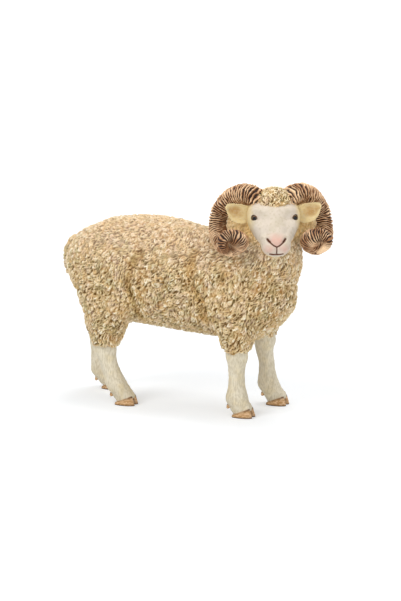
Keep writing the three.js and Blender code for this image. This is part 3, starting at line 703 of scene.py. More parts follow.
class Paint(Nodes):
    """A node material: one Principled shader and the nodes that colour it."""

    def __init__(self, name, **constants):
        self.material = bpy.data.materials.new(name)
        super().__init__(self.material)
        self.shader = self.nodes["Principled BSDF"]
        for socket, value in constants.items():
            self.set(self.shader.inputs[socket.replace("_", " ")], value)

    def field(self, name):
        return self.add("ShaderNodeAttribute", {"attribute_name": name}).outputs["Fac"]

    def place(self):
        return self.add("ShaderNodeTexCoord").outputs["Object"]

    def noise(self, size, detail=3.0, stretch=(1, 1, 1)):
        """Noise with features of the given size, in metres."""
        mapping = self.add("ShaderNodeMapping", Vector=self.place(), Scale=stretch)
        place = mapping.outputs["Vector"]
        made = self.add("ShaderNodeTexNoise", Vector=place, Scale=1 / size, Detail=detail)
        return made.outputs["Fac"]

    def band(self, value, low, high, out_low=0.0, out_high=1.0, course="SMOOTHSTEP"):
        """A value between low and high, brought to between out_low and out_high."""
        limits = {"From Min": low, "From Max": high, "To Min": out_low, "To Max": out_high}
        made = self.add("ShaderNodeMapRange", {"interpolation_type": course}, Value=value, **limits)
        return made.outputs["Result"]

    def blend(self, factor, first, second, mode="MIX"):
        made = self.add("ShaderNodeMix", {"data_type": "RGBA", "blend_type": mode})
        self.set(made.inputs["Factor"], factor)
        self.set(made.inputs[6], first)
        self.set(made.inputs[7], second)
        return made.outputs[2]

    def stain(self, colour, other, size, low, high, amount, detail=3, stretch=(1, 1, 1)):
        """A colour with patches of another, where noise of the given size is high."""
        patches = self.band(self.noise(size, detail, stretch), low, high, 0, amount)
        return self.blend(patches, colour, other)

    def finish(self, colour, bump=None, distance=0.0001, strength=0.4, roughness=None):
        self.set(self.shader.inputs["Base Color"], colour)
        if roughness is not None:
            self.set(self.shader.inputs["Roughness"], roughness)
        if bump is not None:
            made = self.add("ShaderNodeBump", Height=bump, Distance=distance, Strength=strength)
            self.set(self.shader.inputs["Normal"], made.outputs["Normal"])
        return self.material


def fleece_paint():
    """Cream dry-brushed on the crests over a tan wash that drifts to amber, olive and rose; darker in
    the folds (wash and painted crease shade), painted shade low down, and painted light on the upper
    flanks and back.
    """
    c = colours()
    paint = Paint("moulded_fleece", Specular_IOR_Level=0.25)
    crest, tone, fold = paint.field("crest"), paint.field("tone"), paint.field("fold")
    wash = paint.stain(c.fleece_gap, c.fleece_amber, 0.005, 0.5, 0.66, 0.45)
    wash = paint.stain(wash, c.fleece_olive, 0.004, 0.52, 0.66, 0.35, 3, (1.3, 1, 1))
    side = paint.stain(c.fleece_side, c.fleece_rose, 0.0045, 0.5, 0.68, 0.4, 3, (1, 1.3, 1))
    side = paint.stain(side, c.fleece_olive, 0.005, 0.5, 0.68, 0.45, 3, (1, 1, 1.3))
    side = paint.stain(side, c.fleece_amber, 0.006, 0.53, 0.7, 0.4, 3, (1.2, 1, 1))
    colour = paint.blend(paint.band(crest, 0.06, 0.5), wash, side)
    top = paint.blend(paint.band(tone, 0.5, 1.0, 0, 0.6), c.fleece_crest, side)
    colour = paint.blend(paint.band(crest, 0.42, 0.86), colour, top)
    colour = paint.stain(colour, c.fleece_amber, 0.0021, 0.52, 0.68, 0.35, 2, (1, 1.2, 1))
    colour = paint.stain(colour, c.fleece_rose, 0.0024, 0.52, 0.68, 0.35, 2, (1.2, 1, 1))
    colour = paint.stain(colour, c.fleece_olive, 0.0029, 0.52, 0.68, 0.2, 2, (1, 1, 1.2))
    # Darker and more golden in the folds and where forms meet: partly wash gathered there, partly
    # painted crease shade.
    colour = paint.blend(paint.times(fold, 0.6), colour, c.cheek_yellow, "MULTIPLY")
    high = paint.add("ShaderNodeSeparateXYZ", Vector=paint.place()).outputs["Z"]
    # Painted light from above: the upper flanks and back, from 46 mm up, are blended towards the pale
    # rose paint, fading out again above 62 mm.
    back = paint.times(paint.band(high, 0.046, 0.058, 0, 0.26), paint.band(high, 0.062, 0.068, 1, 0))
    colour = paint.blend(back, colour, c.fleece_rose)
    # Painted shade low down: the fleece is multiplied towards olive below 45 mm, most at 20 mm.
    low = paint.band(high, 0.02, 0.045, 0.14, 0.0)
    colour = paint.blend(low, colour, c.fleece_olive, "MULTIPLY")
    colour = paint.blend(paint.times(paint.field("pale"), 0.8), colour, c.fleece_pale)
    rough = paint.band(crest, 0.0, 1.0, 0.85, 0.62)
    return paint.finish(colour, paint.noise(0.0004, 2), 0.00006, 0.5, rough)


def face_paint():
    """White over a faint shade, yellow cheeks, pink nose, and dark lines in the grooves."""
    c = colours()
    paint = Paint("painted_face", Specular_IOR_Level=0.35)
    colour = paint.stain(c.face_white, c.face_shade, 0.0035, 0.42, 0.72, 0.5, 4)
    colour = paint.stain(colour, c.leg_wash, 0.0009, 0.5, 0.72, 0.4)
    cheek = paint.times(paint.field("cheek"), paint.band(paint.noise(0.003), 0.25, 0.6, 0.6, 1))
    colour = paint.blend(cheek, colour, c.cheek_yellow)
    pink = paint.times(paint.field("pink"), paint.band(paint.noise(0.0012), 0.2, 0.7, 0.65, 1))
    colour = paint.blend(pink, colour, c.nose_pink)
    colour = paint.blend(paint.field("line"), colour, c.line_brown)
    hair = paint.noise(0.0005, 2, (1, 1, 0.35))
    return paint.finish(colour, hair, 0.00005, 0.35, paint.band(hair, 0.3, 0.7, 0.5, 0.68))


def horn_paint():
    """Pale dry-brushed ridges over brown, and a dark wash in the grooves; the tip is paler."""
    c = colours()
    paint = Paint("ridged_horn", Specular_IOR_Level=0.4)
    crest, tip = paint.field("crest"), paint.field("tip")
    side = paint.stain(c.horn_side, c.horn_crest, 0.004, 0.42, 0.62, 1)
    side = paint.blend(0.35, side, c.horn_side)
    colour = paint.blend(paint.band(crest, 0.18, 0.52), c.horn_groove, side)
    colour = paint.blend(paint.band(crest, 0.52, 0.82, 0, 0.95), colour, c.horn_crest)
    colour = paint.stain(colour, c.horn_groove, 0.0007, 0.5, 0.75, 0.35)
    colour = paint.blend(paint.times(tip, 0.8), colour, c.horn_crest)
    rough = paint.band(crest, 0, 1, 0.7, 0.45)
    return paint.finish(colour, paint.noise(0.0005, 3), 0.00008, 0.5, rough)


def ear_paint():
    """Pale yellow, darker in the hollow, with fine hair."""
    c = colours()
    paint = Paint("painted_ear", Specular_IOR_Level=0.35)
    hair = paint.noise(0.0007, 3, (1, 1, 2))
    hollow = paint.times(paint.field("hollow"), paint.band(paint.noise(0.0016), 0.3, 0.6, 0.5, 1.0))
    colour = paint.blend(hollow, c.ear_rim, c.ear_hollow)
    colour = paint.blend(paint.band(hair, 0.5, 0.75, 0, 0.45), colour, c.face_white)
    colour = paint.blend(paint.band(hair, 0.25, 0.5, 0.3, 0), colour, c.ear_hollow)
    return paint.finish(colour, hair, 0.0001, 0.5, paint.band(hair, 0.3, 0.7, 0.55, 0.72))


def leg_paint():
    """Off-white hair over a thin wash that gathers in patches."""
    c = colours()
    paint = Paint("painted_leg", Specular_IOR_Level=0.35)
    hair = paint.noise(0.0004, 3, (1, 1, 0.25))
    colour = paint.stain(c.leg_white, c.leg_wash, 0.005, 0.4, 0.75, 0.4, 3, (1, 1, 0.6))
    colour = paint.stain(colour, c.cheek_yellow, 0.003, 0.45, 0.7, 0.3)
    colour = paint.blend(paint.band(hair, 0.35, 0.6, 0.5, 0), colour, c.leg_wash)
    return paint.finish(colour, hair, 0.00006, 0.4, paint.band(hair, 0.3, 0.7, 0.5, 0.7))


def hoof_paint():
    """Orange-brown horn with growth rings, a dark rim at the top, and painted shade along the sole and
    in the cleft.
    """
    c = colours()
    paint = Paint("painted_hoof", Specular_IOR_Level=0.5)
    streak = paint.noise(0.0009, 3, (1, 1, 2.4))
    colour = paint.blend(paint.band(streak, 0.42, 0.62, 0, 0.6), c.hoof_horn, c.horn_crest)
    colour = paint.blend(paint.field("edge"), colour, c.hoof_rim_and_shade)
    return paint.finish(colour, streak, 0.00008, 0.4, paint.band(streak, 0.3, 0.7, 0.35, 0.55))


def eye_paint():
    """A glossy eye: black pupil, olive iris with radial flecks, dark rim."""
    c = colours()
    paint = Paint("glossy_eye", Roughness=0.25, Specular_IOR_Level=0.3)
    ring = paint.field("ring")
    fleck = paint.stain(c.iris, c.line_brown, 0.0003, 0.35, 0.7, 1, 2)
    colour = paint.blend(paint.band(ring, 0.42, 0.52), c.pupil, fleck)
    colour = paint.blend(paint.band(ring, 0.7, 0.88), colour, c.pupil)
    return paint.finish(colour)


def core_paint():
    """Grey filler plastic, faintly grained."""
    paint = Paint("filler_plastic", Specular_IOR_Level=0.4)
    grain = paint.noise(0.002, 4)
    colour = paint.blend(paint.band(grain, 0.3, 0.7, 0, 0.4), colours().core, colours().face_shade)
    return paint.finish(colour, grain, 0.0001, 0.3, paint.band(grain, 0.3, 0.7, 0.45, 0.6))


# Fleece


def gap_round(a, b, half_a, half_b, power):
    """How far a point is outside a superellipse round its middle: |q| (1 - 1/r), where r is the
    share of the superellipse on which the point lies."""
    r = (np.abs(a / half_a) ** power + np.abs(b / half_b) ** power) ** (1 / power)
    return np.hypot(a, b) * (1 - 1 / np.maximum(r, 1e-4))


def barrel_table():
    """x, height of the middle, half-width, half-depth and taper of the body, closed to a point
    at the rump and the brisket."""
    first, last = (-0.001, 0.565, 0.575, 0.002, 0.1), (1.001, 0.415, 0.425, 0.002, 0.0)
    along, under, back, half, taper = smooth_rows([first, *TORSO, last], 8).T
    return np.column_stack(
        [
            RUMP + along * BODY_LENGTH,
            BELLY_HEIGHT + (under + back) / 2 * BODY_DEPTH,
            half * BODY_WIDTH / 2,
            (back - under) / 2 * BODY_DEPTH,
            taper,
        ]
    )


def section_at(place, table):
    """A table's other columns at a place along its first one, and how far it is past the ends."""
    columns = [np.interp(place, table[:, 0], column) for column in table.T[1:]]
    return *columns, np.maximum(place - table[-1, 0], 0) + np.maximum(table[0, 0] - place, 0)


def barrel_gap(points, table):
    x, y, z = np.moveaxis(points, -1, 0)
    middle, half, depth, taper, past = section_at(x, table)
    rise = np.clip((z - middle) / depth, 0, 1)
    return past + gap_round(y, z - middle, half * (1 - taper * rise * rise), depth, BARREL_POWER)


def upright_gap(points, table):
    x, y, z = np.moveaxis(points, -1, 0)
    ahead, aside, long, wide, past = section_at(z, table)
    return past + gap_round(x - ahead, y - aside, long, wide, LIMB_POWER)


def hip_values(name):
    """Sizes of a limb in millimetres: end, side, x of root, hem and foot, hem height, bend."""
    root, hem, foot, high, bend = HIPS[name]
    end = name.split("_")[0]
    side = 1 if name.endswith("left") else -1
    x = [RUMP + share * BODY_LENGTH for share in (root, hem, foot)]
    return end, side * TRACK[end] / 2, x, high * HEM_HEIGHT, bend


def limb_table(name, shares):
    """Height, x, y, half-length and half-width of a limb's fleece."""
    end, aside, (root, hem, _), low, _ = hip_values(name)
    up, way, long, wide = np.array(shares).T
    length, width = LIMB_SIZE[end]
    trim = HEM_TRIM.get(name, 0) * np.interp(up, TRIM_UP, TRIM_SHARE)
    return np.column_stack(
        [
            low + up * (LIMB_ROOT_HEIGHT - low),
            hem + way * (root - hem) + trim,
            aside * (1 - LIMB_LEAN * up),
            long * length / 2 - np.abs(trim),
            wide * width / 2,
        ]
    )


def neck_table(shares):
    up, lean, turn, long, wide = np.array(shares).T
    return np.column_stack(
        [
            NECK_ROOT_HEIGHT + up * NECK_LENGTH,
            NECK_AHEAD + lean * NECK_LEAN,
            -turn * NECK_TURN,
            long * NECK_THICKNESS / 2,
            wide * NECK_THICKNESS / 2,
        ]
    )


def ruff_gap(points):
    """How far a point is outside the ruff, a superellipsoid in the head's axes: |q| (1 - 1/r),
    where r is the share of the superellipsoid on which the point lies."""
    q = (points - HEAD_PLACE) @ head_turn() - RUFF_PLACE
    r = (np.abs(q / RUFF_SIZE) ** RUFF_POWER).sum(-1) ** (1 / RUFF_POWER)
    return np.linalg.norm(q, axis=-1) * (1 - 1 / np.maximum(r, 1e-4))


def head_turn():
    """Turns the head's axes into the figure's."""
    c, s = math.cos(HEAD_YAW), math.sin(HEAD_YAW)
    return np.array([[c, -s, 0], [s, c, 0], [0, 0, 1]])


def head_axes(points):
    """Points of the head's own axes in the figure's."""
    return points @ head_turn().T + HEAD_PLACE


class FleeceForm:
    """The body, neck, ruff and limbs as one smooth form. Each is given by its gap, a point's
    distance outside it, and the form's gap is their smooth minimum: where two gaps differ by
    less than the fillet, the smaller is lessened by the square of what is missing."""

    def __init__(self):
        self.barrel = barrel_table()
        below = [(-1.0, 0.0, 0.4, 0.62)]
        uprights = [neck_table(NECK_FOOT + NECK[1:])]
        uprights += [limb_table(name, below + LIMB) for name in HIPS]
        self.uprights = [smooth_rows(table, 8) for table in uprights]
        self.fillet = in_mm("fillet")
        self.spacing = in_mm("grain") * COARSE

    def gaps(self, points):
        gaps = [barrel_gap(points, self.barrel), ruff_gap(points)]
        return gaps + [upright_gap(points, table) for table in self.uprights]

    def gap(self, points):
        gaps = self.gaps(points)
        total = gaps[0]
        for other in gaps[1:]:
            near = np.clip(1 - np.abs(total - other) / self.fillet, 0, 1)
            total = np.minimum(total, other) - near * near * self.fillet / 4
        return total

    def crease(self, points):
        """1 where two of the forms meet, 0 away from there."""
        gaps = np.sort(np.stack(self.gaps(points)), axis=0)
        return bell(gaps[1] - gaps[0], 0, CREASE_WIDTH)

    def out(self, points, outward):
        """Moves points outward, up to FORM_REACH, to the surface of the whole form."""
        step = np.zeros(points.shape[:-1])
        for _ in range(10):
            step = np.clip(step - self.gap(points + step[..., None] * outward), 0, FORM_REACH)
        return points + step[..., None] * outward

    def normals(self, points):
        """Direction in which the gap grows fastest, by differences over a quarter millimetre."""
        slopes = []
        for axis in np.eye(3) * 0.25:
            slopes.append(self.gap(points + axis) - self.gap(points - axis))
        return unit(np.stack(slopes, -1))


def flank_folds(points):
    """How deep the fleece is folded at each point: on both flanks, a bell curve of the distance
    to each fold's line, weakest along the back."""
    x, z = points[..., 0], points[..., 2]
    total = np.zeros(x.shape)
    for line, width, depth in FOLDS:
        total += depth * bell(line_distance(x, z, line), 0, width)
    return total * ramp(np.abs(points[..., 1]), FOLDS_FROM, FOLDS_OVER)


def line_distance(a, b, line):
    """Distance in the plane from points to a line of straight stretches."""
    nearest = np.full(np.shape(a), 1e3)
    for (a0, b0), (a1, b1) in zip(line, line[1:]):
        run, rise = a1 - a0, b1 - b0
        t = np.clip(((a - a0) * run + (b - b0) * rise) / (run * run + rise * rise), 0, 1)
        nearest = np.minimum(nearest, np.hypot(a - a0 - t * run, b - b0 - t * rise))
    return nearest


def woolly(points, normals, fold, lean, spread, seed):
    """Points of a fleece with its locks and curls, and the fields of its paint. The curls flow
    along lean, laid into the surface and turned in broad patches."""
    shape = points.shape[:-1]
    p, n, f = points.reshape(-1, 3), normals.reshape(-1, 3), fold.ravel()
    flow = unit(lean - (n * lean).sum(1, keepdims=True) * n)
    turn = TURN * cloud(p, TURN_SIZE, seed + 5)[:, None]
    flow = flow * np.cos(turn) + np.cross(n, flow) * np.sin(turn)
    height, tone = curls(p, n, flow, spread, seed)
    bent = p + BEND * flow * cloud(p, BEND_SIZE, seed + 6)[:, None]
    lock = locks(bent, in_mm("lock_size"), seed + 1)
    swell = sum(SWELL_SHARE * cloud(p, size, seed + 2 + i) for i, size in enumerate(SWELL_SIZES))
    rise = (
        in_mm("curl_depth") * (height - CURL_ZERO)
        + in_mm("lock_depth") * (lock - LOCK_ZERO)
        + in_mm("swell") * swell
        - f * (1 - 0.5 * height)
    )
    moved = p + n * rise[:, None]
    crest = np.clip(height * (0.55 + 0.45 * lock), 0, 1)
    by_head = (p - HEAD_PLACE) @ head_turn()
    far = np.linalg.norm((by_head - PALE_PLACE) / PALE_SIZE, axis=-1)
    pale = np.clip(1.75 - 1.25 * far, 0, 1) * np.interp(look_up(by_head), PALE_UP, PALE_SHARE)
    # fold also darkens the paint in the creases: partly wash, partly painted crease shade.
    fields = {"crest": crest, "tone": tone, "fold": np.clip(f / 0.75, 0, 1), "pale": pale}
    return moved.reshape(*shape, 3), {key: v.reshape(shape) for key, v in fields.items()}


def upright_grid(table, count):
    """Rings of an upright form, one for each row of its table."""
    z, x, y, long, wide = upright_columns(table[:, :5])
    t = ring_angles(count)[None]
    a = long * signed_power(np.cos(t), 2 / LIMB_POWER)
    b = wide * signed_power(np.sin(t), 2 / LIMB_POWER)
    tilt = table[:, 5:6] if table.shape[1] > 5 else 0
    return np.stack([x + a, y + b, z + a * tilt], -1)


def dress_form(form, coarse, outward, loose):
    """Points, normals and folds of a fine fleece grid from a coarse one, whose points are moved
    out to the form where loose is 1."""
    base = form.out(coarse, outward * loose[..., None])
    fold = CREASE_DEPTH * form.crease(base) + flank_folds(base)
    fine = finer(np.concatenate([base, form.normals(base), fold[..., None]], -1))
    return fine[..., :3], unit(fine[..., 3:6]), fine[..., 6]


def barrel_fleece(form):
    """The four body pieces: rings round the body, a superellipse drawn in towards the back."""
    table = form.barrel
    measure = np.column_stack([table[:, 0], table[:, 2] + table[:, 3]])
    table = evenly(table, measure, int(BARREL_PATH / form.spacing))
    columns = 2 * int(BARREL_HALF_GIRTH / form.spacing)
    x, middle, half, depth, taper = upright_columns(table)
    t = ring_angles(columns)[None] - np.pi / 2
    a, b = signed_power(np.cos(t), 2 / BARREL_POWER), signed_power(np.sin(t), 2 / BARREL_POWER)
    drawn = half * (1 - taper * np.clip(b, 0, 1) ** 2)
    coarse = np.stack([x + 0 * a, drawn * a, middle + depth * b], -1)
    middles = np.stack([x, 0 * x, middle], -1)
    loose = np.ones(coarse.shape[:2])
    loose[0] = loose[-1] = 0
    base, normals, fold = dress_form(form, coarse, unit(coarse - middles), loose)
    grid, fields = woolly(base, normals, fold, FLEECE_LEAN, 0.55, FLEECE_SEED)
    half_way = grid.shape[1] // 2
    split = int(np.argmin(np.abs(grid[:, 0, 0] - (RUMP + SPLIT_SHARE * BODY_LENGTH))))
    paint = fleece_paint()
    around = {
        "left": np.arange(half_way + 1),
        "right": np.arange(half_way, grid.shape[1] + 1) % grid.shape[1],
    }
    lengthways = {"hind": np.arange(split + 1), "fore": np.arange(split, len(grid))}
    for side, end in product(around, lengthways):
        pick = np.ix_(lengthways[end], around[side])
        part = grid[pick]
        aside = np.sign(part[..., 1].mean())
        heart = np.array([part[..., 0].mean(), aside * BODY_HEART[0], BODY_HEART[1]])
        points = np.vstack([part.reshape(-1, 3), heart])
        flat = {key: np.append(values[pick].ravel(), 0) for key, values in fields.items()}
        faces = patch_faces(*part.shape[:2], end == "hind", end == "fore")
        name = f"{side}_{end}_fleece"
        add_piece(name, points, faces, [side + "_body_shell"], paint, flat)
    return paint


def upright_fleece(form, name, table, lip_rows, node, paint):
    """An upright fleece piece: rings up the limb or neck. The first rows of a limb are its lip,
    which stays on its own form and has a ragged rim."""
    rows = smooth_rows(table, 6)
    measure = rows[:, [0, 3]]
    count = int(np.linalg.norm(np.diff(measure, axis=0), axis=1).sum() / form.spacing)
    place = np.arange(len(rows)) / (len(rows) - 1)
    rows = evenly(np.column_stack([rows, place]), measure, count)
    columns = int(2 * np.pi * np.hypot(*(rows[:, 3:5].max(0) / 1.414)) / form.spacing)
    coarse = upright_grid(rows[:, :5], columns)
    middles = np.stack([rows[:, 1], rows[:, 2], rows[:, 0]], -1)[:, None]
    loose = np.ones(coarse.shape[:2])
    loose[rows[:, 5] < lip_rows / (len(table) - 1)] = 0
    loose[-1] = 0
    base, normals, fold = dress_form(form, coarse, unit(coarse - middles), loose)
    if lip_rows:
        lip_top = table[lip_rows, 0]
        near = np.clip((lip_top + RIM_HEIGHT - base[..., 2]) / RIM_HEIGHT, 0, 1)
        base[..., 2] -= near * (RIM_DROP + RIM_WANDER * cloud(base, RIM_NOISE, 47))
        down = np.clip((lip_top - base[..., 2:3]) / RIM_TURN_HEIGHT, 0, 1) * RIM_TURN
        normals = unit(normals + down)
    grid, fields = woolly(base, normals, fold, FLEECE_LEAN, 0.55, FLEECE_SEED)
    add_tube(name, grid, [node], paint, fields)


def ruff_fleece(form, paint):
    """The wool behind the cheeks: rings across a superellipsoid, from the head's right to its
    left."""
    count = int(RUFF_PATH / form.spacing)
    rise = (np.linspace(-0.5, 0.5, count) * 0.99 * np.pi)[:, None]
    t = ring_angles(count)[None]
    share = 2 / RUFF_POWER
    around = signed_power(np.cos(rise), share)
    way = [around * signed_power(np.cos(t), share), signed_power(np.sin(rise), share) + 0 * t]
    way = np.stack([*way, -around * signed_power(np.sin(t), share)], -1) * RUFF_SIZE
    loose = np.ones(way.shape[:2])
    loose[0] = loose[-1] = 0
    coarse, outward = head_axes(RUFF_PLACE + way), unit(way @ head_turn().T)
    base, normals, fold = dress_form(form, coarse, outward, loose)
    grid, fields = woolly(base, normals, 0.3 * fold, FLEECE_LEAN, 0.7, FLEECE_SEED)
    add_tube("cheek_wool", grid, ["neck_fleece"], paint, fields)


class RAM_OT_fleece(Operator):
    """Body, neck, ruff and upper limbs in moulded curls, flowing together as one form"""

    bl_idname = "ram.fleece"
    bl_label = "Fleece"

    def execute(self, context):
        form = FleeceForm()
        paint = barrel_fleece(form)
        for name in HIPS:
            shell = name.split("_")[1] + "_body_shell"
            table = limb_table(name, HEM_LIP + LIMB)
            upright_fleece(form, name + "_limb_fleece", table, 3, shell, paint)
        upright_fleece(form, "neck_wool", neck_table(NECK), 0, "neck_fleece", paint)
        ruff_fleece(form, paint)
        return {"FINISHED"}


def ball_grid(middle, size, counts):
    """Rings of an ellipsoid from its bottom to its top."""
    rise = (np.linspace(-0.5, 0.5, counts[0]) * 0.995 * np.pi)[:, None]
    t = ring_angles(counts[1])[None]
    way = np.stack([np.cos(rise) * np.cos(t), np.cos(rise) * np.sin(t), np.sin(rise) + 0 * t], -1)
    return middle + way * size


class RAM_OT_tail_and_crown(Operator):
    """Short woolly tail, and the woolly crown between the horns"""

    bl_idname = "ram.tail_and_crown"
    bl_label = "Tail and crown"

    def execute(self, context):
        paint = bpy.data.materials["moulded_fleece"]
        up, way, long, wide = smooth_rows(TAIL, 10).T
        table = np.column_stack(
            [
                TAIL_TOP + up * TAIL_LENGTH,
                RUMP + way * TAIL_LENGTH,
                0 * up,
                long * TAIL_THICKNESS / 2,
                wide * TAIL_THICKNESS / 2,
            ]
        )
        base = upright_grid(evenly(table, table[:, [0, 3]], TAIL_GRID[0]), TAIL_GRID[1])
        no_fold = np.zeros(TAIL_GRID)
        grid, fields = woolly(base, grid_normals(base), no_fold, FLEECE_LEAN, 0.5, TAIL_SEED)
        add_tube("woolly_tail", grid, ["tail"], paint, fields)
        base = ball_grid(np.zeros(3), CROWN_SIZE, CROWN_GRID)
        base[..., 1] *= 0.8 + 0.3 * np.clip(base[..., 2] / CROWN_SIZE[2], -0.5, 0.9)
        base += CROWN_PLACE
        base[..., 2] += 0.4 * cloud(base, 2.6, 44)
        no_fold = np.zeros(CROWN_GRID)
        grid, fields = woolly(base, grid_normals(base), no_fold, CROWN_LEAN, 0.9, CROWN_SEED)
        add_tube("woolly_crown", head_axes(grid), ["poll_fleece"], paint, fields)
        return {"FINISHED"}


# Head


def head_base():
    """Rings across the face's axis: superellipses with their own height above and below it."""
    table = smooth_rows(HEAD, 12)
    measure = table * (HEAD_LENGTH, HEAD_WIDTH / 2, HEAD_DEPTH, 0)
    weights = np.where(table[1:, 0] > 0.7, 1.8, 1.0)  # closer rows at the nose
    along, wide, over, under = upright_columns(evenly(table, measure, HEAD_GRID[0], weights))
    t = ring_angles(HEAD_GRID[1])[None]
    a = wide * HEAD_WIDTH / 2 * signed_power(np.cos(t), 2 / HEAD_POWER)
    high = np.where(np.sin(t) < 0, under, over) * HEAD_DEPTH
    b = high * signed_power(np.sin(t), 2 / HEAD_POWER)
    reach = along * HEAD_LENGTH
    c, s = math.cos(FACE_SLOPE), math.sin(FACE_SLOPE)
    x = FACE_TOP[0] * HEAD_LENGTH + reach * c + b * s
    z = FACE_TOP[1] * HEAD_LENGTH - reach * s + b * c
    return np.stack([x, a, z], -1)


def look_up(points):
    """Height of points of the head as the face is looked at, square to its look."""
    return points[..., 2] * math.cos(LOOK_SLOPE) - points[..., 0] * math.sin(LOOK_SLOPE)


def face_relief(points, normals):
    """How far the face stands out at each point, and the fields of its paint. Each shape is a
    bell curve in the plane square to the look, and each groove a bell curve of the distance to
    its line. Both fade where the surface turns away from the look."""
    look = np.array([math.cos(LOOK_SLOPE), 0, math.sin(LOOK_SLOPE)])
    facing = np.clip((normals @ look) * 2.2, 0, 1)
    aside, up = np.abs(points[..., 1]), look_up(points)
    rise, line = np.zeros(aside.shape), np.zeros(aside.shape)
    for a, b, wide, high, amount in FACE_SHAPES:
        rise += amount * bell(aside, a, wide) * bell(up, b, high)
    for path, wide, depth in FACE_LINES:
        groove = bell(line_distance(aside, up, path), 0, wide)
        rise -= depth * groove
        line = np.maximum(line, groove)
    nose_edge = line_distance(aside, up, FACE_LINES[0][0])
    above = up > NOSE_LINE[0] + aside * NOSE_LINE[1]
    nose = np.clip(1.1 - ((up - NOSE_UP) / NOSE_HIGH) ** 2, 0, 1) * above
    nose = nose * np.clip(nose_edge * 2, 0, 1) * np.clip(1.6 - aside / NOSE_WIDE, 0, 1)
    muzzle = bell(aside, MUZZLE[0], MUZZLE[2]) * bell(up, MUZZLE[1], MUZZLE[3]) * (1 - above)
    cheek = ramp(aside, *CHEEK_ASIDE) + ramp(-points[..., 0], *CHEEK_BACK)
    beard = ramp(-up, *CHEEK_DOWN) * np.clip(1.5 - facing * 2, 0, 1)
    fields = {
        "line": np.clip((line - 0.45) * 3.2, 0, 1) * np.clip(facing * 2, 0, 1),
        "pink": np.clip(0.95 * nose + 0.8 * muzzle, 0, 1) * facing,
        "cheek": np.clip(cheek + 0.5 * beard, 0, 1) * 0.85,
    }
    return rise * facing, fields


class RAM_OT_head(Operator):
    """Smooth face and skull with brows, nostrils, mouth and short hair"""

    bl_idname = "ram.head"
    bl_label = "Head"

    def execute(self, context):
        base = head_base()
        normals = grid_normals(base)
        rise, fields = face_relief(base, normals)
        grid = base + normals * rise[..., None]
        hair = cloud(grid, FACE_HAIR[0], 51) + 0.7 * cloud(grid, FACE_HAIR[1], 52)
        quiet = 1 - 0.8 * fields["pink"]
        grid += normals * (in_mm("hair_depth") * hair * quiet)[..., None]
        far = np.hypot(np.abs(base[..., 1]) - EYE_PLACE[1], look_up(base) - look_up(EYE_PLACE))
        grid -= normals * (SOCKET_DEPTH * np.exp(-(far**4)))[..., None]
        add_tube("painted_head", head_axes(grid), ["head"], face_paint(), fields)
        return {"FINISHED"}


class RAM_OT_eyes(Operator):
    """Glossy eyes between two lids"""

    bl_idname = "ram.eyes"
    bl_label = "Eyes"

    def execute(self, context):
        paint, lid_paint = eye_paint(), bpy.data.materials["painted_face"]
        t, round_lid = ring_angles(LID_GRID[0]), ring_angles(LID_GRID[1])
        a, b = LID_WIDE * np.cos(t), LID_HIGH * signed_power(np.sin(t), LID_POWER)
        inner = np.clip(1.6 * np.cos(round_lid - np.pi) + 0.5, 0, 1)
        upper = np.clip(0.75 + 0.4 * np.sin(t), 0, 1)[:, None]
        lid_fields = {"line": inner * upper, "pink": np.full(LID_GRID, 0.1)}
        lid_fields["cheek"] = np.zeros(LID_GRID)
        for name, side in SIDES.items():
            middle = EYE_PLACE * (1, side, 1)
            grid = ball_grid(np.zeros(3), in_mm("eye_radius"), EYE_GRID)
            gaze = unit(np.array([math.cos(LOOK_SLOPE), side * 0.25, 0.1]))
            off = np.linalg.norm(np.cross(unit(grid), gaze), axis=-1)
            fields = {"ring": np.where(grid @ gaze > 0, off, 1.0)}
            grid = head_axes(grid + middle)
            add_tube(name + "_eyeball", grid, [name + "_eye"], paint, fields)
            out = unit(np.array([0.75, side * 0.66, 0.1]))
            across = unit(np.cross((0, 0, 1), out))
            up = np.cross(out, across)
            path = middle + out * LID_OUT + a[:, None] * across + b[:, None] * up
            ring = head_axes(close_ring(path, LID_RADIUS, round_lid, out))
            add_loop(name + "_eyelids", ring, lid_paint, lid_fields)
        return {"FINISHED"}


def close_ring(path, radius, t, out):
    """A round tube along a closed flat path: rings at the angles t, spanned by the path's
    outward direction in its plane and the plane's normal."""
    way = np.roll(path, -1, 0) - np.roll(path, 1, 0)
    outward = unit(np.cross(way, out))
    offset = np.cos(t)[None, :, None] * outward[:, None] + np.sin(t)[None, :, None] * out
    return path[:, None] + radius * offset


def add_loop(name, grid, paint, fields):
    """A tube that closes on itself both ways. Its rings run against the sense of add_tube's."""
    rows, columns = grid.shape[:2]
    index = np.arange(rows * columns).reshape(rows, columns)
    index = np.vstack([index, index[:1]])
    quads = grid_quads(np.hstack([index, index[:, :1]]))
    flat = {key: values.ravel() for key, values in fields.items()}
    add_piece(name, grid.reshape(-1, 3), [quads], [], paint, flat, True)


# Horns and ears


def centripetal(points, steps):
    """Points on the centripetal Catmull-Rom curve through the given ones: a Hermite curve for
    each stretch, whose end slopes weigh the neighbouring stretches by the root of their length."""
    p = np.vstack([2 * points[0] - points[1], points, 2 * points[-1] - points[-2]])
    gaps = np.linalg.norm(np.diff(p, axis=0), axis=1)[:, None] ** 0.5
    before, here, after = gaps[:-2], gaps[1:-1], gaps[2:]
    a, b, c, d = p[:-3], p[1:-2], p[2:-1], p[3:]
    start = ((b - a) / before - (c - a) / (before + here) + (c - b) / here) * here
    end = ((c - b) / here - (d - b) / (here + after) + (d - c) / after) * here
    t = (np.arange(steps) / steps)[:, None, None]
    square, cube = 3 * (c - b) - 2 * start - end, 2 * (b - c) + start + end
    curve = b + start * t + square * t**2 + cube * t**3
    return np.vstack([curve.transpose(1, 0, 2).reshape(-1, 3), points[-1:]])


